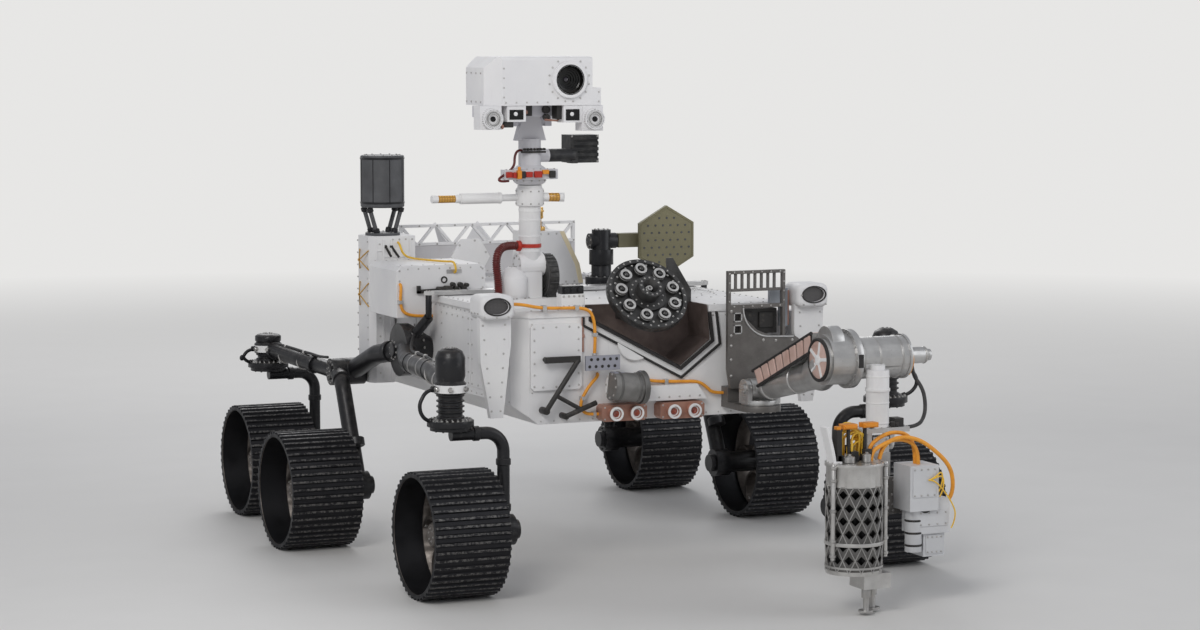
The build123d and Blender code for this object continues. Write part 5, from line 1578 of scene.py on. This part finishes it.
slabs(clips, (-509, -491, -1135, -1106, 1134, 1160), (-360, -342, -1131, -1106, 1133, 1156),
      (-273, -255, -1131, -1100, 1020, 1036), (60, 76, -1127, HULL_FRONT, 800, 824),
      (-330, -314, -1133, HULL_FRONT, 752, 768), (-276, -262, -1131, HULL_FRONT, 680, 700),
      (-782, -760, -135, -110, 1094, 1110))
sleeve(clips, (340, -1118, 752), (362, -1118, 752), 11, 18)
sleeve(clips, (-268, -1122, 950), (-269, -1122, 928), 11, 18)
make("cable_clips", clips, silver, edge=1)
HOSE_RUN = [(795, -1950, 945), (795, -1956, 899), (822, -1996, 843), (828, -2010, 785),
            (812, -2032, 732), (764, -2060, 694), (697, -2060, 694)]
cable("arm_hose_sleeve", [HOSE_RUN], 8, black_sleeve, "arm_fore", "arm_hose")
turret_runs = []
for y, rise in ((-2290, 0), (-2316, -26)):
    turret_runs.append([
        (620, y, 580), (620, y, 640 + rise / 2), (590, y, 700 + rise), (510, y - 8, 716 + rise),
        (440, y - 16, 694 + rise), (392, y - 26, 658 + rise / 2), (392, y - 26, CORE_TOP),
    ])
cable("turret_orange_cables", turret_runs, 8, orange_sleeve, "arm_turret", "turret_cables")
wires = []
for number in range(14):
    side = number % 7
    depth = -2330 + 12 * (number % 5)
    top = 742 - 9 * side + 14 * (number % 3)
    left = 262 + 9 * side
    wires.append([
        (left, depth, CORE_TOP), (left - 4 + side, depth - 6, 650 + 4 * side),
        (left + 6, depth + 8, top - 18), (left + 34, depth + 14, top),
        (left + 78 - 3 * side, depth + 10, top - 8),
        (left + 100 - 5 * side, depth + 22, 690 - 4 * side), (left + 92 - 4 * side, depth + 30, CORE_TOP),
    ])
cable("drill_wires", wires, 4.2, yellow_wire, "arm_turret")
RIGHT_RUN = [(440, -2322, CORE_TOP), (446, -2324, 660), (516, -2330, 700), (612, -2338, 686),
             (699, -2344, 622), (752, -2344, 566), (771, -2338, 500), (768, -2326, 440), (752, -2320, 425)]
cable("right_orange_cable", [RIGHT_RUN], 8.5, orange_sleeve, "arm_turret")
boxes = []
for x, z in ((700, 560), (706, 540), (760, 410)):
    boxes.append([(640, -2366, 520), (660, -2378, 530), (x, -2372, z), (x + 4, -2366, z - 60),
                  (x - 8, -2356, z - 90)])
cable("box_wires", boxes, 3, yellow_wire, "arm_turret")
HEAD_RUN = [(-497, -878, 1800), (-520, -892, 1806), (-540, -900, 1780), (-545, -912, 1735),
            (-590, -925, 1705), (-628, -930, 1684), (-616, -934, 1672), (-580, -934, 1676)]
cable("mast_red_cable", [HEAD_RUN], 5.5, dark_red, "mast_pan")
TIE_RUN = [(748, -2020, 1010), (756, -2034, 985), (757, -2030, 940), (752, -2006, 905)]
cable("elbow_orange_tie", [TIE_RUN], 4, orange_sleeve, "arm_fore")

BELLOWS_RUN = [(-496, -850, 1393), (-554, -860, 1399), (-606, -884, 1384), (-628, -900, 1330),
               (-616, -905, 1240), (-616, -905, DECK_TOP)]
PLEAT = 0.009


def pleated_hose(name, run, radius, finish, body, replaced):
    """A corrugated hose: a mesh tube along the route's own smooth line, wide and narrow in turn."""
    guide = route(name + "_guide", [run], 0)
    bare = bpy.data.meshes.new_from_object(guide)
    points = [vertex.co.copy() for vertex in bare.vertices]
    bpy.data.objects.remove(guide)
    bpy.data.meshes.remove(bare)
    marks = [0.0]
    for first, last in zip(points, points[1:]):
        marks.append(marks[-1] + (last - first).length)
    count = round(marks[-1] / PLEAT) * 4
    mesh = bmesh.new()
    rings = []
    across = BACK
    for number in range(count + 1):
        here = marks[-1] * number / count
        index = max(i for i, mark in enumerate(marks[:-1]) if mark <= here)
        share = (here - marks[index]) / (marks[index + 1] - marks[index])
        centre = points[index].lerp(points[index + 1], share)
        toward = (points[index + 1] - points[index]).normalized()
        across = (across - toward * across.dot(toward)).normalized()
        third = toward.cross(across)
        wide = radius / 1000 * (1.0 if number % 4 in (1, 2) else 0.84)
        turns = [(across * cos + third * sin) * wide for cos, sin in around(20)]
        rings.append([mesh.verts.new(centre + turn) for turn in turns])
    skin(mesh, rings, closed=False)
    piece = make(name, mesh, finish, body)
    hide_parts(replaced)


pleated_hose("mast_hose", BELLOWS_RUN, 18, dark_red, "chassis", "mast_bellows")
collars = bmesh.new()
sleeve(collars, (-616, -905, DECK_TOP), (-616, -905, DECK_TOP + 20), 24, 28)
sleeve(collars, (-494, -850, 1393), (-512, -852, 1394), 23, 28)
make("hose_collars", collars, red)
tape = bmesh.new()
band(tape, (MAST_X, MAST_Y, 1386), UP, 46, 49.5, 16, 44)
make("mast_red_band", tape, red)


# Floor, light and camera
# A plain pale floor that fades into a plain pale background. Two broad soft lamps and an even
# surrounding light. The camera stands where the photograph was taken from.
PALE = (0.80, 0.795, 0.785)
FADE_START, FADE_END = 5.0, 16.0
FLOOR_SIZE = 160.0
pale_floor = Finish("pale_floor", rough=0.6)
patches = pale_floor.noise(0.4, 4)
pale_floor.put("Base Color", pale_floor.blend(patches, (0.70, 0.69, 0.675), (0.66, 0.65, 0.635)))
fade = pale_floor.reach((0, 0, 0), (1, 1, 0)).between(FADE_START, FADE_END)
glow = pale_floor.node("ShaderNodeEmission", {}, {"Color": (*PALE, 1), "Strength": 1.0})
surface = Shade(pale_floor, pale_floor.shader.outputs[0])
mixed = pale_floor.node("ShaderNodeMixShader", {}, {0: fade, 1: surface, 2: glow})
pale_floor.tree.links.new(mixed.socket, pale_floor.tree.nodes["Material Output"].inputs["Surface"])
grid = bmesh.new()
bmesh.ops.create_grid(grid, x_segments=4, y_segments=4, size=FLOOR_SIZE / 2)
floor_data = bpy.data.meshes.new("floor")
grid.to_mesh(floor_data)
grid.free()
floor_data.materials.append(pale_floor.material)
floor = bpy.data.objects.new("floor", floor_data)
bpy.context.scene.collection.objects.link(floor)
floor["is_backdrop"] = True

world = bpy.data.worlds.new("studio")
bpy.context.scene.world = world
world.use_nodes = True
tree = world.node_tree
surround = tree.nodes["Background"]
surround.inputs["Color"].default_value = (0.93, 0.95, 1.0, 1)
surround.inputs["Strength"].default_value = 0.46
shown = tree.nodes.new("ShaderNodeBackground")
shown.inputs["Color"].default_value = (*PALE, 1)
paths = tree.nodes.new("ShaderNodeLightPath")
either = tree.nodes.new("ShaderNodeMath")
either.operation = "MAXIMUM"
tree.links.new(paths.outputs["Is Camera Ray"], either.inputs[0])
tree.links.new(paths.outputs["Is Transmission Ray"], either.inputs[1])
choose = tree.nodes.new("ShaderNodeMixShader")
tree.links.new(either.outputs[0], choose.inputs[0])
tree.links.new(surround.outputs[0], choose.inputs[1])
tree.links.new(shown.outputs[0], choose.inputs[2])
tree.links.new(choose.outputs[0], tree.nodes["World Output"].inputs["Surface"])

MIDDLE = Vector((0.0, 0.1, 1.0))
# column names: name, place, width, power, colour
LAMPS = [
    ("key", (-6.5, -7.5, 7.5), 4.0, 440, (1.0, 0.985, 0.96)),
    ("fill", (7.0, -5.0, 4.5), 6.0, 150, (0.95, 0.975, 1.0)),
    ("back", (2.0, 8.0, 6.0), 5.0, 200, (1.0, 1.0, 1.0)),
]
for name, place, width, power, colour in LAMPS:
    lamp = bpy.data.lights.new(name, "AREA")
    lamp.size = width
    lamp.energy = power
    lamp.color = colour
    stand = bpy.data.objects.new(name, lamp)
    stand.location = place
    stand.rotation_euler = (MIDDLE - Vector(place)).to_track_quat("-Z", "Y").to_euler()
    bpy.context.scene.collection.objects.link(stand)

camera_data = bpy.data.cameras.new("camera")
camera = bpy.data.objects.new("camera", camera_data)
bpy.context.scene.collection.objects.link(camera)
camera.location = (-5.482, -12.385, 2.318)
AIM = Vector((0.02, 0.0, 1.05))
camera.rotation_euler = (AIM - camera.location).to_track_quat("-Z", "Y").to_euler()
camera_data.sensor_width = 36
camera_data.lens = 92
camera_data.clip_end = 300
bpy.context.scene.camera = camera
bpy.context.scene.view_settings.view_transform = "Standard"

low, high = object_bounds()
